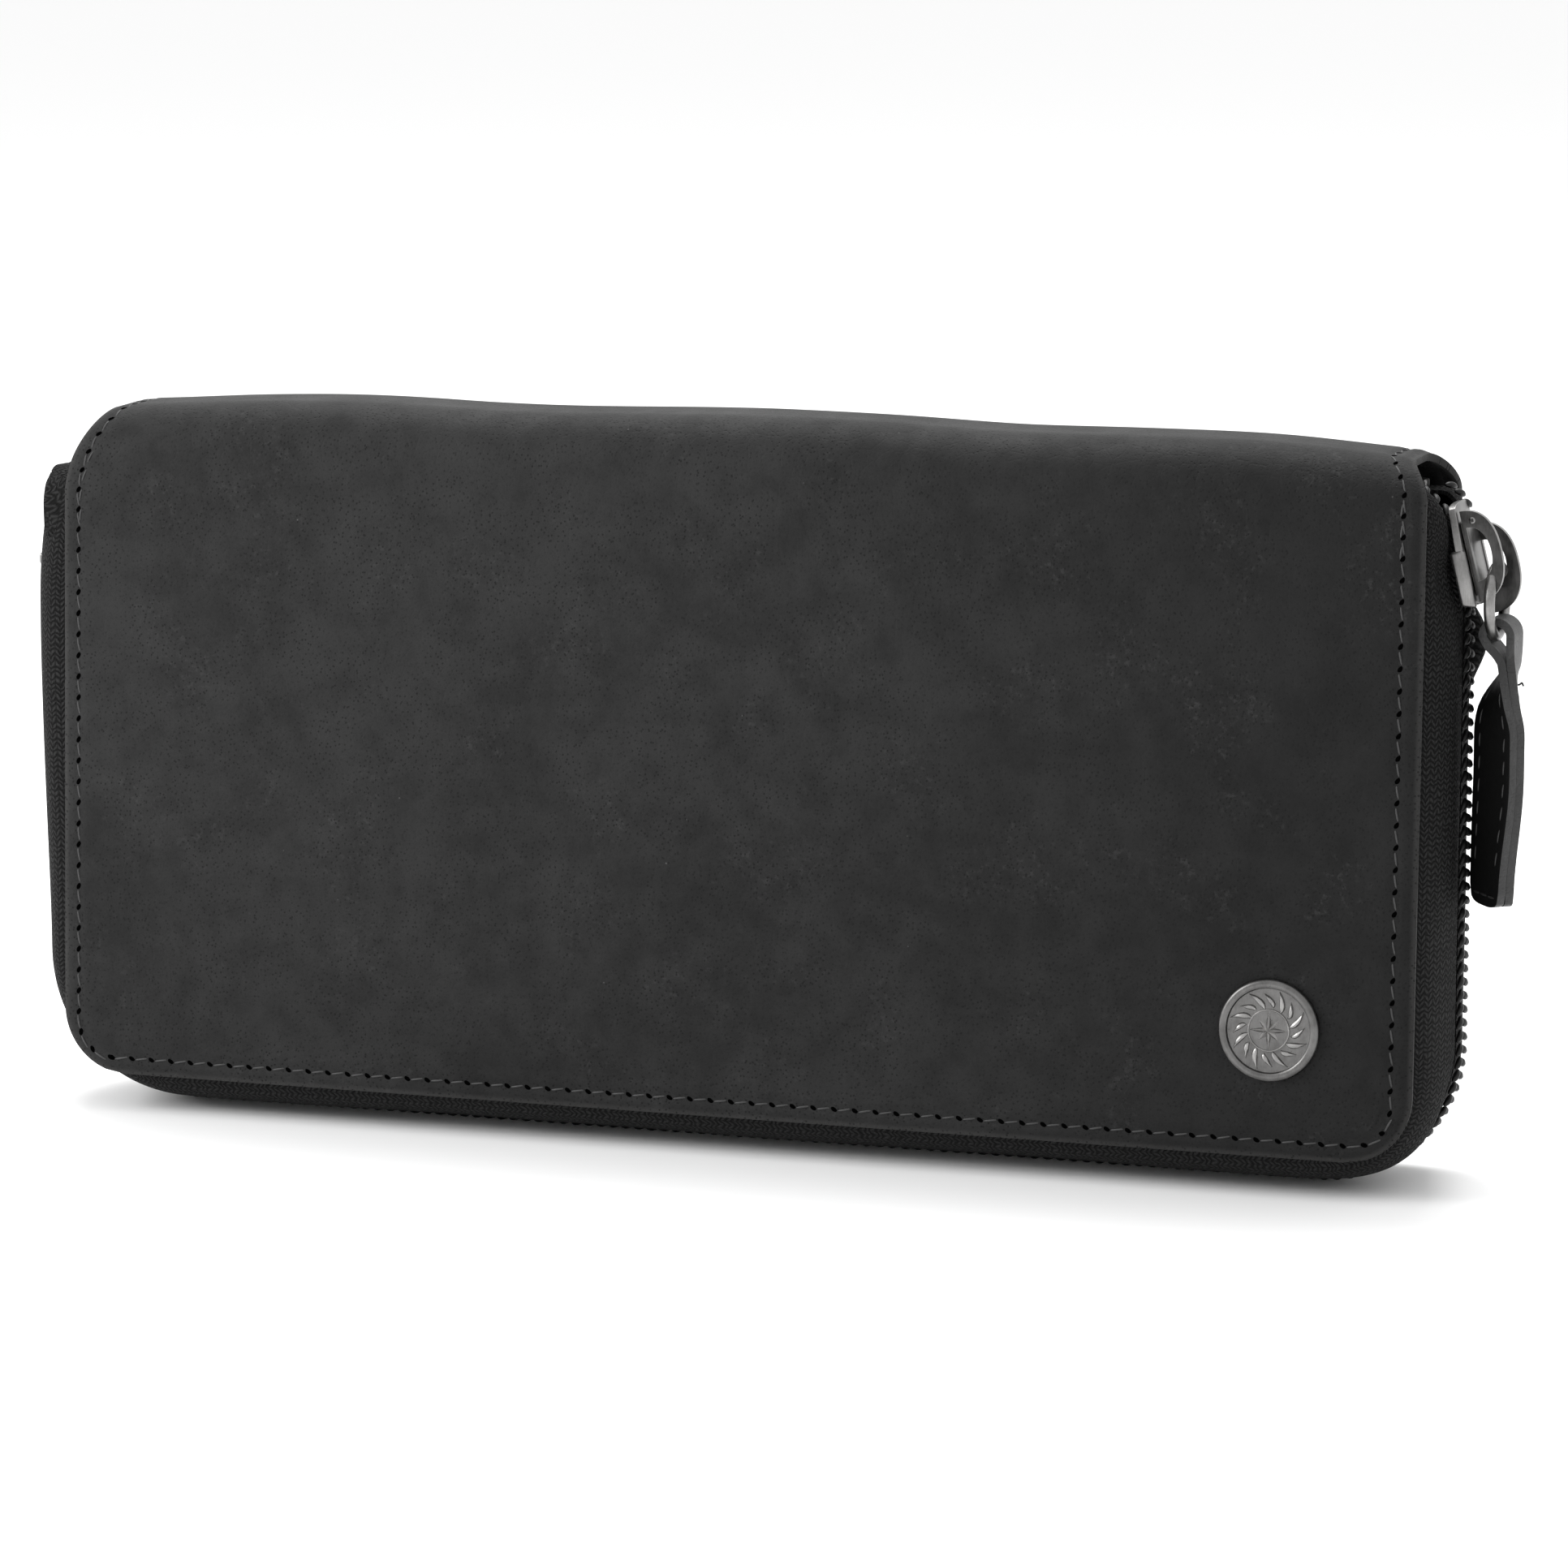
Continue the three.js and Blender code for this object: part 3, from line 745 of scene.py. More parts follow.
def tape_place(line, index, column, side):
    x, z = line[index]
    in_x, in_z = inward(line, index)
    upright = abs(in_x) ** 3
    corner = 4 * in_x ** 2 * in_z ** 2 if x > 0 and side < 0 else 0.0
    inwards, out = smooth_through(tape_section(upright, corner), 4)[column]
    edge = (half_depth(z) - 1.75 * MM) / MM
    if out > 4:
        out = 4 + (out - 4) * (edge - 4) / (tape_corner_mm - 4)
    slack_share = math.sin(math.pi * column / (section_count - 1))
    ripple = noise.noise(Vector((index * 0.05, side * 3.0 + column * 0.05, 0.7))) * 0.3 * slack_share
    inwards += ripple
    if x > 0:
        by_slider = ease(1 - abs(z - slider_middle_z) / (11 * MM))
        inwards += 1.5 * by_slider * ease((out - 1) / 2) * ease((9.5 - out) / 3)
    if x > 0 and side > 0:
        below_slider = ease(1 - abs(z - bulge_middle_z) / (8.5 * MM))
        inwards -= 2.6 * below_slider * ease((out - 1.5) / 2.5) * ease((10.5 - out) / 3)
    y = out * MM + parting(x, z) * max(0.0, 1 - out / edge)
    lowest = tape_thick / 2 + 0.05 * MM
    return Vector((x + in_x * inwards * MM, middle_y + side * y, max(z + in_z * inwards * MM, lowest)))


def zip_tape(name, side):
    line = zip_line(side)
    gone = [0.0]
    for (x0, z0), (x1, z1) in zip(line, line[1:]):
        gone.append(gone[-1] + math.hypot(x1 - x0, z1 - z0))
    columns, rows = list(range(section_count)), list(range(len(line)))
    piece = sheet_grid(name, columns, rows, lambda column, index: tape_place(line, index, column, side))
    place = piece.data.attributes.new("tape_place", "FLOAT_VECTOR", "POINT")
    flat = smooth_through(tape_section(0), 4)
    reach = [0.0]
    for (a0, b0), (a1, b1) in zip(flat, flat[1:]):
        reach.append(reach[-1] + math.hypot(a1 - a0, b1 - b0) * MM)
    for index in range(len(piece.data.vertices)):
        place.data[index].vector = (reach[index % section_count], gone[index // section_count], 0)
    add_modifier(piece, "SOLIDIFY", thickness=tape_thick, offset=0)
    apply_modifiers(piece)
    face_outwards(piece)
    smooth_below(50)
    return piece, line, gone


front_tape, front_line, front_gone = zip_tape("front_tape", -1)
rear_tape, rear_line, rear_gone = zip_tape("rear_tape", 1)

knit, tree, surface = new_material("knitted_tape")
place = node(tree, "ShaderNodeAttribute", attribute_name="tape_place").outputs["Vector"]
wander = noise_at(tree, place, 700, 3)
apart = axes(tree, place)
rib_pitch, yarn_pitch = 0.78 * MM, 0.86 * MM
zigzag = maths(tree, "PINGPONG", maths(tree, "DIVIDE", apart["X"], rib_pitch), 1.0)
phase = plus(tree, maths(tree, "DIVIDE", apart["Y"], yarn_pitch), times(tree, zigzag, 0.75))
phase = plus(tree, phase, times(tree, wander, 1.7))
wave = maths(tree, "SINE", times(tree, phase, 2 * math.pi))
yarns = maths(tree, "MULTIPLY_ADD", wave, 0.5, 0.5)
rib_turn = times(tree, maths(tree, "DIVIDE", apart["X"], rib_pitch), math.pi)
wale = maths(tree, "ABSOLUTE", maths(tree, "SINE", rib_turn))
knit_height = times(tree, yarns, maths(tree, "MULTIPLY_ADD", wale, 0.7, 0.3))
fluff = noise_at(tree, place, 5200, 2)
# The tape's colour follows the knit's relief: painted shade in the gaps between the yarns, and real tone from
# the fluff.
knit_relief_and_shade = maths(tree, "MULTIPLY_ADD", fluff, 0.35, times(tree, knit_height, 0.75))
feed(surface, "Base Color", mixed(tree, between(tree, knit_relief_and_shade, 0.12, 0.8), grey(0.0015), grey(0.022)))
roughen(tree, surface, knit_relief_and_shade, 1.0, 0.4 * MM)
feed(surface, "Roughness", 0.75)
feed(surface, "Specular IOR Level", 0.12)
tapes = ((front_tape, "front_zip_tape", "front_half"), (rear_tape, "rear_zip_tape", "back_half"))
for piece, name, body in tapes:
    coat(piece, knit)
    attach(piece, body)
    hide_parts(name)

# ---- Zip coils -----------------------------------------------------------------------------
# Each tape carries a coil of black nylon wire, sewn on by its foot. Its turns stand 2 mm apart
# as slanted beads 1 mm thick. The heads of the two coils face each other and part above the slider.

coil_pitch = 2.0 * MM
coil_middle = 0.72 * MM
coil_out = 1.25 * MM
coil_short = 27 * MM


def coil_turn(point):
    """One turn seen from outside: a slanted bead, thicker at the head by the middle."""
    swell = 1 + 0.22 * point.x
    bow = 0.22 * math.cos(point.x * 1.3)
    return Vector((point.x * 1.28, point.y * 0.52 * swell, point.z * 0.5 + bow - 0.12)) * MM


turn_piece = ball_along_x(8, 8, coil_turn)


def zip_coil(name, side, line, gone, shift):
    """Lays the turns along the line. A turn's X points at the middle plane and its Z outwards."""
    copies = []
    at, index = 9 * MM + shift * coil_pitch, 0
    while at < gone[-1] - coil_short:
        while gone[index + 1] < at:
            index += 1
        share = (at - gone[index]) / (gone[index + 1] - gone[index])
        (x0, z0), (x1, z1) = line[index], line[index + 1]
        x, z = x0 + (x1 - x0) * share, z0 + (z1 - z0) * share
        in_x, in_z = inward(line, index)
        out_axis = Vector((-in_x, 0, -in_z))
        along = Vector((x1 - x0, 0, z1 - z0)).normalized()
        middle_axis = Vector((0, -side, 0))
        y = middle_y + side * (coil_out + parting(x, z))
        centre = Vector((x + in_x * coil_middle, y, z + in_z * coil_middle))
        slant = math.radians(33)
        first = middle_axis * math.cos(slant) - along * math.sin(slant)
        second = middle_axis * math.sin(slant) + along * math.cos(slant)
        jitter = 0.04 * MM * noise.noise(Vector((at * 900, side, 0.1)))

        def placed(point, centre=centre, first=first, second=second, out_axis=out_axis, jitter=jitter):
            return centre + first * point.x + second * point.y + out_axis * (point.z + jitter)

        copies.append((turn_piece, placed))
        at += coil_pitch
    piece = laid(name, copies)
    face_outwards(piece)
    return piece


nylon, tree, surface = new_material("black_nylon")
coordinates = object_place(tree)
haze = noise_at(tree, coordinates, 1400, 2)
feed(surface, "Base Color", mixed(tree, haze, grey(0.002), grey(0.005)))
feed(surface, "Roughness", between(tree, haze, 0.3, 0.7, 0.34, 0.5))
feed(surface, "Specular IOR Level", 0.3)
coils = (
    (-1, "front", "front_half", front_line, front_gone),
    (1, "rear", "back_half", rear_line, rear_gone),
)
for side, name, body, line, gone in coils:
    coil = zip_coil(f"{name}_coil", side, line, gone, 0.25 * side)
    coat(coil, nylon)
    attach(coil, body)
    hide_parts(f"{name}_zip_coil")

# ---- Slider --------------------------------------------------------------------------------
# Die-cast slider in satin nickel: an outer plate with side flanges over its lower half, an open
# throat above them, a nose that joins it to the inner plate, and a crown of two cheeks.

slider_low, slider_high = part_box("slider_body")
crown_low, crown_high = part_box("slider_crown")
plate_low_x = slider_high[0] - 1.15 * MM


def solid_block(name, low, high, rounding):
    """A block with rounded edges between two corners."""
    deselect_all()
    bpy.ops.mesh.primitive_cube_add(size=1)
    piece = bpy.context.object
    piece.name = name
    for point in piece.data.vertices:
        point.co = Vector([low[i] + (point.co[i] + 0.5) * (high[i] - low[i]) for i in range(3)])
    if rounding:
        round_edges(piece, rounding, 3, 30)
        apply_modifiers(piece)
    return piece


def joined(name, pieces):
    deselect_all()
    for piece in pieces:
        piece.select_set(True)
    bpy.context.view_layer.objects.active = pieces[0]
    bpy.ops.object.join()
    pieces[0].name = name
    return pieces[0]


def taper(piece, low, high, waist):
    """Draws the upper half of a slider plate in to its waist."""
    for point in piece.data.vertices:
        share = ease((point.co.z - low) / (high - low))
        point.co.y = middle_y + (point.co.y - middle_y) * (1 - (1 - waist) * share)


def divide(piece, cuts):
    make_active(piece)
    bpy.ops.object.mode_set(mode="EDIT")
    bpy.ops.mesh.select_all(action="SELECT")
    bpy.ops.mesh.subdivide(number_cuts=cuts)
    bpy.ops.object.mode_set(mode="OBJECT")


slider_y = (slider_low[1], slider_high[1])
low, high = (plate_low_x, slider_y[0], slider_low[2]), (slider_high[0], slider_y[1], slider_high[2])
outer_plate = solid_block("outer_plate", low, high, 0.0)
divide(outer_plate, 7)
taper(outer_plate, slider_low[2] + 6 * MM, slider_high[2], 0.8)
for point in outer_plate.data.vertices:
    across = abs(point.co.y - middle_y) / (slider_y[1] - middle_y)
    low_share = 1 - ease((point.co.z - slider_low[2]) / (4 * MM))
    high_share = ease((point.co.z - slider_high[2] + 4 * MM) / (4 * MM))
    point.co.z += (low_share - high_share) * 1.3 * MM * across ** 3
    point.co.x -= 0.25 * MM * across ** 2
flange_high_z = slider_low[2] + 8.4 * MM
flanges = []
for side in (-1, 1):
    y = slider_y[0] if side < 0 else slider_y[1]
    face_y = y + side * 0.07 * MM
    low = (plate_low_x - 1.1 * MM, min(face_y, y - side * 1.0 * MM), slider_low[2] - 0.05 * MM)
    high = (slider_high[0] + 0.03 * MM, max(face_y, y - side * 1.0 * MM), flange_high_z)
    flange = solid_block(f"flange_{side}", low, high, 0.0)
    for point in flange.data.vertices:
        if point.co.x < low[0] + 0.1 * MM and point.co.z < low[2] + 0.1 * MM:
            point.co.z += 0.5 * MM
    round_edges(flange, 0.5 * MM, 4, 30)
    apply_modifiers(flange)
    flanges.append(flange)


def across_middle(name, low_x, high_x, half_width, low_z, high_z, rounding):
    """A block that stands astride the wallet's middle plane."""
    low = (low_x, middle_y - half_width, low_z)
    return solid_block(name, low, (high_x, middle_y + half_width, high_z), rounding)


post_x, top_z = plate_low_x + 0.3 * MM, slider_high[2]
low_x, low_z = slider_low[0], slider_low[2] + 0.4 * MM
nose = across_middle("nose", low_x + 1.2 * MM, post_x, 1.5 * MM, top_z - 2.4 * MM, top_z - 0.5 * MM, 0.3 * MM)
inner_plate = across_middle("inner_plate", low_x, low_x + 0.9 * MM, 3.6 * MM, low_z, top_z - 1.2 * MM, 0.0)
divide(inner_plate, 5)
taper(inner_plate, slider_low[2] + 5 * MM, slider_high[2], 0.35)
wedge = across_middle("wedge", low_x + 0.5 * MM, post_x, 0.9 * MM, top_z - 5 * MM, top_z - 1 * MM, 0.2 * MM)
for piece in (outer_plate, inner_plate):
    round_edges(piece, 0.22 * MM, 3, 40)
    apply_modifiers(piece)
slider = joined("slider_casting", [outer_plate, nose, inner_plate, wedge, *flanges])
slider_lean = math.radians(14)


def lean_slider(piece):
    """The slider sits where the zip starts to curl in, so its nose leans towards the spine."""
    pivot = Vector((line_right, middle_y, slider_low[2] + 1 * MM))
    turn_in = Matrix.Rotation(-slider_lean, 4, "Y")
    piece.data.transform(Matrix.Translation(pivot) @ turn_in @ Matrix.Translation(-pivot))
    make_active(piece)
    smooth_below(38)


lean_slider(slider)

cheek_base = crown_low[0]
cheek_middle = (crown_low[2] + crown_high[2]) / 2
cheek_half = (crown_high[2] - crown_low[2]) / 2


def rounded_half(piece, base, reach, middle, half, power):
    """Makes a cylinder across Y into a D: flat at its base, its bow a squared-off ellipse."""
    for point in piece.data.vertices:
        across, up = point.co.x, point.co.z
        length = math.hypot(across, up)
        if length < 1e-9:
            continue
        cosine, sine = across / length, up / length
        bow = (abs(cosine) ** power + abs(sine) ** power) ** (-1 / power)
        point.co.x = base + max(0.0, cosine * bow) * reach
        point.co.z = middle + sine * bow * half


def crown_cheek(side, reach, middle, half, window_reach, window_middle, window_half):
    """A D-shaped cheek with a D-shaped window; the far one is the larger."""
    y = middle_y + side * 3.5 * MM
    shaped = []
    for sides, depth, base, out, centre, tall, power in (
        (96, 0.95 * MM, cheek_base, reach, middle, half, 2.4),
        (64, 3 * MM, cheek_base + 0.5 * MM, window_reach, window_middle, window_half, 2.2),
    ):
        deselect_all()
        settings = {"vertices": sides, "radius": 1, "depth": depth, "rotation": (math.pi / 2, 0, 0)}
        bpy.ops.mesh.primitive_cylinder_add(**settings)
        piece = bpy.context.object
        bpy.ops.object.transform_apply(location=True, rotation=True, scale=True)
        rounded_half(piece, base, out, centre, tall, power)
        for point in piece.data.vertices:
            point.co.y += y
        face_outwards(piece, 0.02 * MM)
        shaped.append(piece)
    cheek, window = shaped
    add_modifier(cheek, "BOOLEAN", operation="DIFFERENCE", object=window, solver="EXACT")
    round_edges(cheek, 0.2 * MM, 3, 40)
    apply_modifiers(cheek)
    bpy.data.objects.remove(window, do_unlink=True)
    return cheek


near, far, window_reach = cheek_middle, cheek_middle - 2.6 * MM, 2.8 * MM
cheeks = [
    crown_cheek(-1, 4.7 * MM, near, cheek_half, window_reach, near + 0.2 * MM, 3.9 * MM),
    crown_cheek(1, 5.0 * MM, far, cheek_half, window_reach, far + 0.6 * MM, 3.4 * MM),
]
low_x, low_z, high_z = cheek_base - 0.28 * MM, crown_low[2] + 0.9 * MM, crown_high[2] - 1.6 * MM
foot = across_middle("crown_foot", low_x, cheek_base + 0.4 * MM, 3.9 * MM, low_z, high_z, 0.15 * MM)
stakes = []
for side in (-1, 1):
    deselect_all()
    bpy.ops.mesh.primitive_uv_sphere_add(segments=24, ring_count=12, radius=0.5 * MM)
    stake = bpy.context.object
    stake_z = crown_high[2] - (1.6 if side < 0 else 4.2) * MM
    for point in stake.data.vertices:
        point.co.y *= 0.35
        point.co += Vector((cheek_base + 1.55 * MM, middle_y + side * 3.93 * MM, stake_z))
    stakes.append(stake)
crown = joined("slider_crown_cheeks", [*cheeks, foot, *stakes])
lean_slider(crown)

# Worn nickel: faint brushing, tarnish in clouds, and small nicks.
worn, into, out = group_tree(
    "worn_metal",
    [("Vector", "NodeSocketVector")],
    [("Tone", "NodeSocketFloat"), ("Roughness", "NodeSocketFloat"), ("Height", "NodeSocketFloat")],
)
where = into.outputs["Vector"]
tarnish = noise_at(worn, where, 380, 4, 0.6)
stretch = node(worn, "ShaderNodeMapping", {"Vector": where, "Scale": (1.0, 1.0, 0.12)}).outputs[0]
brushing = noise_at(worn, stretch, 9000, 2)
nick_place = noise_at(worn, where, 900, 1)
nicks = between(worn, cells_at(worn, where, 1300), 0.16, 0.05)
nicks = times(worn, nicks, between(worn, nick_place, 0.5, 0.62))
tone = maths(worn, "MULTIPLY_ADD", tarnish, 0.7, times(worn, brushing, 0.3))
feed(out, "Tone", minus(worn, tone, times(worn, nicks, 0.25)))
polish = maths(worn, "MULTIPLY_ADD", brushing, 0.12, 0.16)
feed(out, "Roughness", maths(worn, "MULTIPLY_ADD", tarnish, 0.25, polish))
feed(out, "Height", minus(worn, times(worn, brushing, 0.12), nicks))


def metal(name, dark, light, bump_distance):
    material, tree, surface = new_material(name)
    coordinates = object_place(tree)
    wear = place_group(tree, worn, {"Vector": coordinates})
    shade = mixed(tree, between(tree, wear.outputs["Tone"], 0.25, 0.7), grey(dark, 0.02), grey(light, 0.015))
    feed(surface, "Base Color", shade)
    feed(surface, "Roughness", wear.outputs["Roughness"])
    roughen(tree, surface, wear.outputs["Height"], 0.5, bump_distance)
    feed(surface, "Metallic", 1.0)
    return material


nickel = metal("satin_nickel", 0.16, 0.3, 0.05 * MM)
# Painted shade: a darker copy of the nickel for the cheeks' flat faces, in place of the darker surroundings
# they reflect.
cheek_shade_nickel = metal("nickel_cheek_painted_shade", 0.03, 0.075, 0.07 * MM)
coat(slider, nickel)
coat(crown, nickel, cheek_shade_nickel)
# The cheeks' flat faces across Y take the painted-shade copy.
for face in crown.data.polygons:
    face.material_index = 1 if abs(face.normal.y) > 0.97 else 0
for piece, name in ((slider, "slider_body"), (crown, "slider_crown")):
    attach(piece, "slider")
    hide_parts(name)
dress(nickel, "badge_washer", "coin_stop", "coin_slider", "coin_puller")

# ---- Zip stops -----------------------------------------------------------------------------
# Small crimped staples of nickel sheet end the coils: two top stops in the tunnel under the
# spine, one on each tape, and a bottom stop at the left end that holds both tapes together.


def crimp(name, line, index, y_low, y_high):
    x, z = line[index]
    in_x, in_z = inward(line, index)
    centre = Vector((x + in_x * 0.95 * MM, (y_low + y_high) / 2, z + in_z * 0.95 * MM))
    size = Vector((1.6 * MM, y_high - y_low, 1.7 * MM))
    return solid_block(name, centre - size / 2, centre + size / 2, 0.35 * MM)


top_stops = (
    (-1, "front_top_stop", "front_half", front_line),
    (1, "rear_top_stop", "back_half", rear_line),
)
for side, name, body, line in top_stops:
    out = middle_y + side * (0.15 * MM + parting(*line[5]))
    low_y, high_y = sorted((out, out + side * 2.4 * MM))
    stop = crimp(f"{name}_crimp", line, 5, low_y, high_y)
    coat(stop, nickel)
    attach(stop, body)
    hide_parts(name)
half_stop = 2.6 * MM
stop = crimp("bottom_stop_crimp", rear_line, len(rear_line) - 25, middle_y - half_stop, middle_y + half_stop)
coat(stop, nickel)
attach(stop, "back_half")
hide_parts("bottom_stop")

# ---- Pull ring -----------------------------------------------------------------------------
# A ring of 1.6 mm nickel wire, butt-joined at the back, hangs through both cheeks.

ring_low, ring_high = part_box("pull_ring")
ring_wire = (ring_high[0] - ring_low[0]) / 2
ring_radius = (ring_high[2] - ring_low[2]) / 2 - ring_wire
ring_middle = (ring_low + ring_high) / 2
deselect_all()
bpy.ops.mesh.primitive_torus_add(
    major_radius=ring_radius,
    minor_radius=ring_wire,
    major_segments=96,
    minor_segments=24,
    rotation=(0, math.pi / 2, 0),
)
ring = bpy.context.object
ring.name = "wire_ring"
bpy.ops.object.transform_apply(location=True, rotation=True, scale=True)
for point in ring.data.vertices:
    angle = math.atan2(point.co.z, point.co.y)
    to_joint = abs(angle - math.radians(62))
    pinch = 1 - 0.16 * math.exp(-((to_joint * ring_radius) / (0.12 * MM)) ** 2)
    centre = Vector((0, math.cos(angle), math.sin(angle))) * ring_radius
    point.co = centre + (point.co - centre) * pinch + ring_middle
ring.data.polygons.foreach_set("use_smooth", [True] * len(ring.data.polygons))
coat(ring, nickel)
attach(ring, "ring")
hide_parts("pull_ring")

# ---- Pull tab ------------------------------------------------------------------------------
# A 40 mm strip of the same leather, folded round the ring, glued back to back and stitched.
# It hangs with its near edge turned out from the wallet and bows a little.

tab_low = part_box("pull_tab")[0]
tab_axis = (ring_middle.x, middle_y)
loop_middle = ring_low[2] + 1.0 * MM
tab_bottom = tab_low[2] - 1.8 * MM
tab_skin = 1.2 * MM


def tab_half_width(z):
    return (2.5 + 2.1 * ease((79 * MM - z) / (6 * MM))) * MM


def tab_yaw(z):
    return math.radians(-2 + 49 * ease((80 * MM - z) / (13 * MM)) - 8 * ease((60 * MM - z) / (16 * MM)))


def tab_bow(z):
    return (2.0 - 1.4 * ease((77 * MM - z) / (7 * MM)) - 0.7 * ease((62 * MM - z) / (18 * MM))) * MM


tab_profile = {
    1: smooth_through([(0.63, 0.0), (0.63, 0.3), (0.63, 0.6), (0.63, 0.84), (0.63, 0.92), (0.65, 1.0)], 10),
    -1: smooth_through(
        [(0.63, 0.0), (0.63, 0.3), (0.63, 0.6), (0.64, 0.86), (1.1, 0.915), (2.7, 0.965), (3.45, 1.0)], 9
    ),
}
loop_radius = 2.05 * MM
loop_out = -1.4


def tab_point(out_mm, z, share, face=0):
    """A place on the tab: out from its middle plane, at a height, share -1 (near) to 1 (far)."""
    half = tab_half_width(z)
    yaw = tab_yaw(z)
    belly = 0.5 * (1 - share * share) * ease((77 * MM - z) / (5 * MM)) * (1 if face > 0 else 0.15) * MM
    out = out_mm * MM + face * belly
    t = share * half
    x = tab_axis[0] + tab_bow(z) + out * math.cos(yaw) - t * math.sin(yaw)
    y = tab_axis[1] + t * math.cos(yaw) + out * math.sin(yaw)
    return Vector((x, y, z))


def end_height(share):
    """The tab's rounded lower end."""
    return tab_bottom + 2.6 * MM * (1 - (1 - abs(share) ** 3.2) ** (1 / 3.2))


arc_steps = 28
tab_rows = [("leg", -1, i) for i in range(len(tab_profile[-1]))]
tab_rows += [("loop", 0, i) for i in range(1, arc_steps)]
tab_rows += [("leg", 1, i) for i in reversed(range(len(tab_profile[1])))]


def tab_surface(share, row):
    kind, face, index = row
    if kind == "loop":
        angle = math.pi * (1 - index / arc_steps)
        out = loop_out + loop_radius / MM * math.cos(angle)
        return tab_point(out, loop_middle + loop_radius * math.sin(angle), share)
    out, rise = tab_profile[face][index]
    low = end_height(share)
    z = low + (loop_middle - low) * rise
    return tab_point(face * out, z, share, face)


shares = [-1 + 2 * i / 20 for i in range(21)]
tab = sheet_grid("leather_tab", shares, tab_rows, tab_surface)
add_modifier(tab, "SOLIDIFY", thickness=tab_skin, offset=0)
round_edges(tab, 0.16 * MM, 2, 50)
apply_modifiers(tab)
face_outwards(tab)
smooth_below(40)

cut_leather, tree, surface = new_material("tab_leather")
coordinates = object_place(tree)
grain = place_group(tree, nubuck, {"Vector": coordinates, "Flat": seen_flat(tree, coordinates, "Y")})
drawn_down = node(tree, "ShaderNodeMapping", {"Vector": coordinates, "Scale": (1, 1, 0.25)}).outputs[0]
fibres = noise_at(tree, drawn_down, 3400, 3, 0.7)
shade = mixed(tree, between(tree, grain.outputs["Tone"], 0.32, 0.68), grey(0.007), grey(0.02))
shade = mixed(tree, times(tree, between(tree, fibres, 0.5, 0.8), 0.5), shade, grey(0.06))
shade = mixed(tree, times(tree, grain.outputs["Pores"], 0.6), shade, grey(0.006))
feed(surface, "Base Color", shade)
roughen(tree, surface, plus(tree, grain.outputs["Height"], fibres), 0.6, 0.12 * MM)
feed(surface, "Roughness", between(tree, grain.outputs["Tone"], 0.3, 0.7, 0.6, 0.48))
feed(surface, "Sheen Weight", 0.1)
# Painted shade: a near-black leather for the tab's faces that turn towards the wallet, where they lie in its
# shade.
tab_shaded_face, tree, surface = new_material("tab_face_painted_shade")
coordinates = object_place(tree)
haze = noise_at(tree, coordinates, 260, 4, 0.65)
feed(surface, "Base Color", mixed(tree, haze, grey(0.0025), grey(0.008)))
feed(surface, "Roughness", between(tree, haze, 0.3, 0.7, 0.7, 0.55))
feed(surface, "Specular IOR Level", 0.12)
coat(tab, cut_leather, tab_shaded_face)
# Faces turned towards the wallet take the painted-shade leather.
for face in tab.data.polygons:
    if face.normal.x < -0.4:
        face.material_index = 1

tab_threads = []
tab_pitch = 3.3 * MM


def off_tab(z, face, lift):
    """The step from a layer's middle to a thread on its outer face."""
    outward = Vector((math.cos(tab_yaw(z)), math.sin(tab_yaw(z)), 0)) * face
    return outward * (tab_skin / 2 + lift * 0.75)


for face in (-1, 1):
    for edge_side in (-1, 1):
        z = 72.5 * MM
        while z > tab_bottom + 4.2 * MM:
            share = edge_side * (1 - 1.5 * MM / tab_half_width(z))

            def placed(point, face=face, share=share, z=z):
                along = share + (point.y + 0.08 * point.x) / tab_half_width(z)
                there = tab_point(face * 0.63, z - point.x * 1.02, along, face)
                return there + off_tab(z, face, point.z)

            tab_threads.append((thread_piece, placed))
            z -= tab_pitch
    for offset in (-1, 0, 1):

        def placed(point, face=face, offset=offset):
            z = tab_bottom + 1.6 * MM
            along = (offset * tab_pitch * 0.72 + point.x) / tab_half_width(z)
            there = tab_point(face * 0.63, z, along, face)
            return there + off_tab(z, face, point.z) + Vector((0, 0, point.y))

        tab_threads.append((thread_piece, placed))
tab_seam = laid("tab_seam", tab_threads)
coat(tab_seam, thread)

loose_ends = []
tufts = (
    ((1.0, 74.6, -0.2), ((0.5, 0.1, -0.3), (0.9, 0.0, -0.1), (1.1, 0.2, 0.2), (1.3, 0.1, -0.4))),
    ((1.2, 60.2, 0.4), ((0.3, 0.0, 0.05), (0.6, 0.0, -0.1))),
)
for (out, height, share), run in tufts:
    base = tab_point(out, height * MM, share)
    curve_data = bpy.data.curves.new("loose_end", "CURVE")
    curve_data.dimensions = "3D"
    curve_data.bevel_depth = 0.14 * MM
    curve_data.bevel_resolution = 2
    curve_data.resolution_u = 6
    spline = curve_data.splines.new("NURBS")
    spline.points.add(len(run))
    spline.use_endpoint_u = True
    spline.order_u = 3
    spline.points[0].co = (*base, 1)
    for index, (x, y, z) in enumerate(run):
        spline.points[index + 1].co = (base.x + x * MM, base.y + y * MM, base.z + z * MM, 1)
    make_active(in_scene("loose_end", curve_data))
    bpy.ops.object.convert(target="MESH")
    loose_ends.append(bpy.context.object)
loose = joined("loose_thread_ends", loose_ends)
coat(loose, thread)
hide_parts("pull_tab")
for piece, slot in ((tab, "leather"), (tab_seam, "thread"), (loose, "thread")):
    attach(piece, "pull")

# ---- Badge ---------------------------------------------------------------------------------
# A struck disc of antiqued nickel, 15 mm across, riveted through the cover. It has a raised
# rim and a compass rose with curved rays; its ground is darkened.

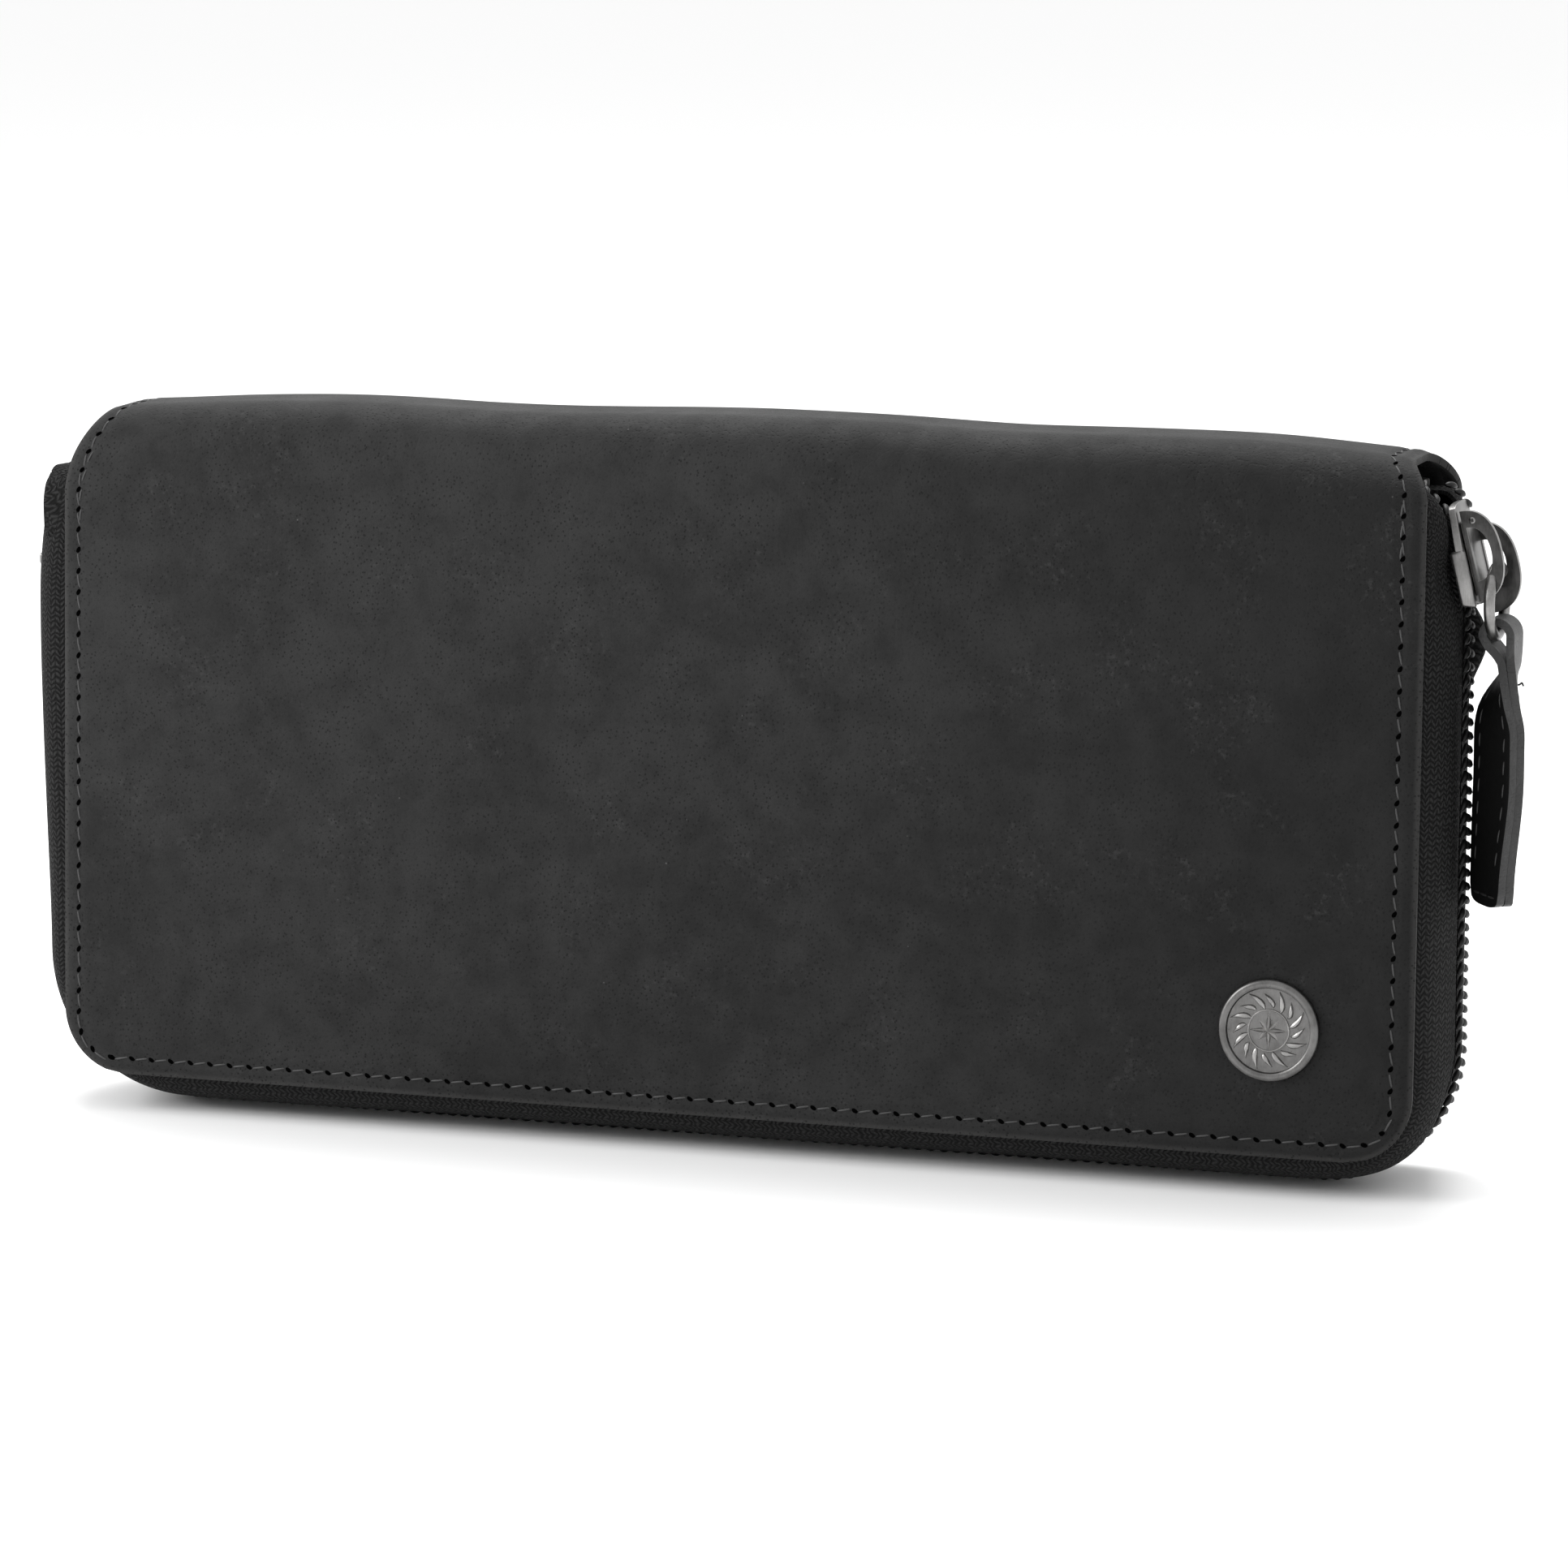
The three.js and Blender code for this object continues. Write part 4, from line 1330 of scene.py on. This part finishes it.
badge_low, badge_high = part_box("badge")
badge_radius = (badge_high[0] - badge_low[0]) / 2
badge_x = (badge_high[0] + badge_low[0]) / 2
badge_z = (badge_high[2] + badge_low[2]) / 2
badge_down = (bend_z - badge_z) / math.cos(lean)
badge_s = cover_drop - badge_down
badge_y, badge_centre_z, badge_ny, badge_nz = fold_line(badge_s)
badge_turn = Matrix((
    (1, 0, 0, badge_x),
    (0, math.sin(lean), badge_ny, middle_y + badge_y),
    (0, math.cos(lean), badge_nz, badge_centre_z),
    (0, 0, 0, 1),
))
badge_profile = [
    (0.0, 0.55), (0.2, 0.6), (0.79, 0.55), (0.815, 0.6), (0.835, 1.0), (0.86, 1.12), (0.91, 1.16),
    (0.955, 1.08), (0.985, 0.86), (1.0, 0.5), (1.0, -0.15), (0.97, -0.25), (0.0, -0.25),
]


def turned(name, profile, radius, sides=96):
    """A solid of revolution about Z from (share of the radius, height in mm)."""
    deselect_all()
    bpy.ops.mesh.primitive_grid_add(x_subdivisions=sides, y_subdivisions=len(profile) - 1, size=1)
    piece = bpy.context.object
    piece.name = name
    for point in piece.data.vertices:
        angle = (point.co.x + 0.5) * 2 * math.pi
        share, height = profile[round((point.co.y + 0.5) * (len(profile) - 1))]
        point.co = Vector((share * radius * math.cos(angle), share * radius * math.sin(angle), height * MM))
    face_outwards(piece, 0.003 * MM)
    return piece


disc = turned("badge_disc", badge_profile, badge_radius)


def ray_shape(point):
    """A curved ray along X from 0 to 1, ridged down its middle."""
    share = (point.x + 1) / 2
    width = 0.62 * math.sin(math.pi * min(1.0, share ** 0.75)) ** 0.8
    return Vector((share, point.y * width, max(-0.2, point.z)))


ray_piece = ball_along_x(10, 10, ray_shape)
rays = []
for index in range(16):
    angle = index * math.pi / 8 + math.pi / 16
    long_ray = index % 2 == 0
    first, last = (2.9, 6.0) if long_ray else (3.3, 5.4)

    def placed(point, angle=angle, first=first, last=last):
        reach = (first + (last - first) * point.x) * MM
        swept = angle + 0.34 * point.x ** 1.4
        side = point.y * 0.85 * MM
        x = reach * math.cos(swept) - side * math.sin(swept)
        y = reach * math.sin(swept) + side * math.cos(swept)
        return Vector((x, y, (0.5 + 0.5 * point.z) * MM))

    rays.append((ray_piece, placed))
rays_piece = laid("badge_rays", rays)
star = turned("badge_star", [(0.0, 1.25), (0.5, 0.9), (1.0, 0.58), (1.0, 0.4), (0.0, 0.4)], 1.0, 32)
for point in star.data.vertices:
    radius = math.hypot(point.co.x, point.co.y)
    if radius < 1e-6:
        continue
    angle = math.atan2(point.co.y, point.co.x)
    step = (angle / (math.pi / 4)) % 1.0
    tip = abs(step - 0.5) * 2
    long_tip = round(angle / (math.pi / 4)) % 2 == 0
    outline = 0.95 + (1.95 if long_tip else 1.2) * tip ** 1.6
    point.co.x *= outline * MM
    point.co.y *= outline * MM
bead_profile = [(0.94, 0.4), (0.94, 0.78), (0.97, 0.86), (1.0, 0.78), (1.0, 0.4), (0.94, 0.4)]
inner_ring = turned("badge_inner_ring", bead_profile, 3.1 * MM, 64)
relief_piece = joined("badge_relief", [rays_piece, star, inner_ring])
for piece in (disc, relief_piece):
    piece.data.transform(badge_turn)
    face_outwards(piece)
    smooth_below(35)
antique = metal("antiqued_nickel", 0.09, 0.17, 0.05 * MM)
bright = metal("badge_relief_nickel", 0.24, 0.36, 0.04 * MM)
coat(disc, antique)
coat(relief_piece, bright)
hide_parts("badge")
for piece in (disc, relief_piece):
    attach(piece, "front_half")

# ---- Inside fittings -----------------------------------------------------------------------
# The coin pocket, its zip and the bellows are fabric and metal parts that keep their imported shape.

dress(twill, "coin_front_panel", "coin_rear_panel", "coin_gusset")
dress(twill, *[f"{end}_bellows_{side}" for end in ("left", "right") for side in ("front", "rear")])
dress(twill, "coin_front_tape", "coin_rear_tape")
dress(nylon, "coin_front_coil", "coin_rear_coil")

# ---- Studio --------------------------------------------------------------------------------
# A white table in white surroundings, a soft light from the upper left, a wide light overhead
# and the camera.

deselect_all()
bpy.ops.mesh.primitive_plane_add(size=60)
table = bpy.context.object
table.name = "table"
paper, tree, surface = new_material("white_table")
feed(surface, "Base Color", (0.96, 0.96, 0.96, 1))
feed(surface, "Roughness", 0.9)
feed(surface, "Specular IOR Level", 0.1)
coat(table, paper)

world = bpy.data.worlds.new("studio")
bpy.context.scene.world = world
world.use_nodes = True
world.node_tree.nodes["Background"].inputs["Color"].default_value = (1, 1, 1, 1)
world.node_tree.nodes["Background"].inputs["Strength"].default_value = 1.0


def soft_light(name, place, target, size, power):
    data = bpy.data.lights.new(name, "AREA")
    data.shape = "RECTANGLE"
    data.size, data.size_y = size
    data.energy = power
    lamp = in_scene(name, data)
    lamp.location = place
    lamp.rotation_euler = (Vector(target) - Vector(place)).to_track_quat("-Z", "Y").to_euler()


soft_light("key", (-0.42, -0.32, 0.3), (-0.06, 0, 0.06), (0.25, 0.3), 1.9)
soft_light("top", (-0.1, 0.35, 1.0), (0, 0, 0.05), (0.8, 0.5), 9)

camera_data = bpy.data.cameras.new("camera")
camera_data.sensor_width = 36
camera_data.lens = 167.2
camera_data.clip_start = 0.01
camera = in_scene("camera", camera_data)
camera_turn, camera_rise = math.radians(18.59), math.radians(9.85)
camera_distance = 1.07855
aim = Vector((3.71, 0.58, 53.8)) * MM
level = math.cos(camera_rise)
away = Vector((math.sin(camera_turn) * level, -math.cos(camera_turn) * level, math.sin(camera_rise)))
camera.location = aim + away * camera_distance
camera.rotation_euler = (-away).to_track_quat("-Z", "Y").to_euler()
bpy.context.scene.camera = camera
bpy.context.scene.view_settings.view_transform = "Standard"

bpy.context.view_layer.update()
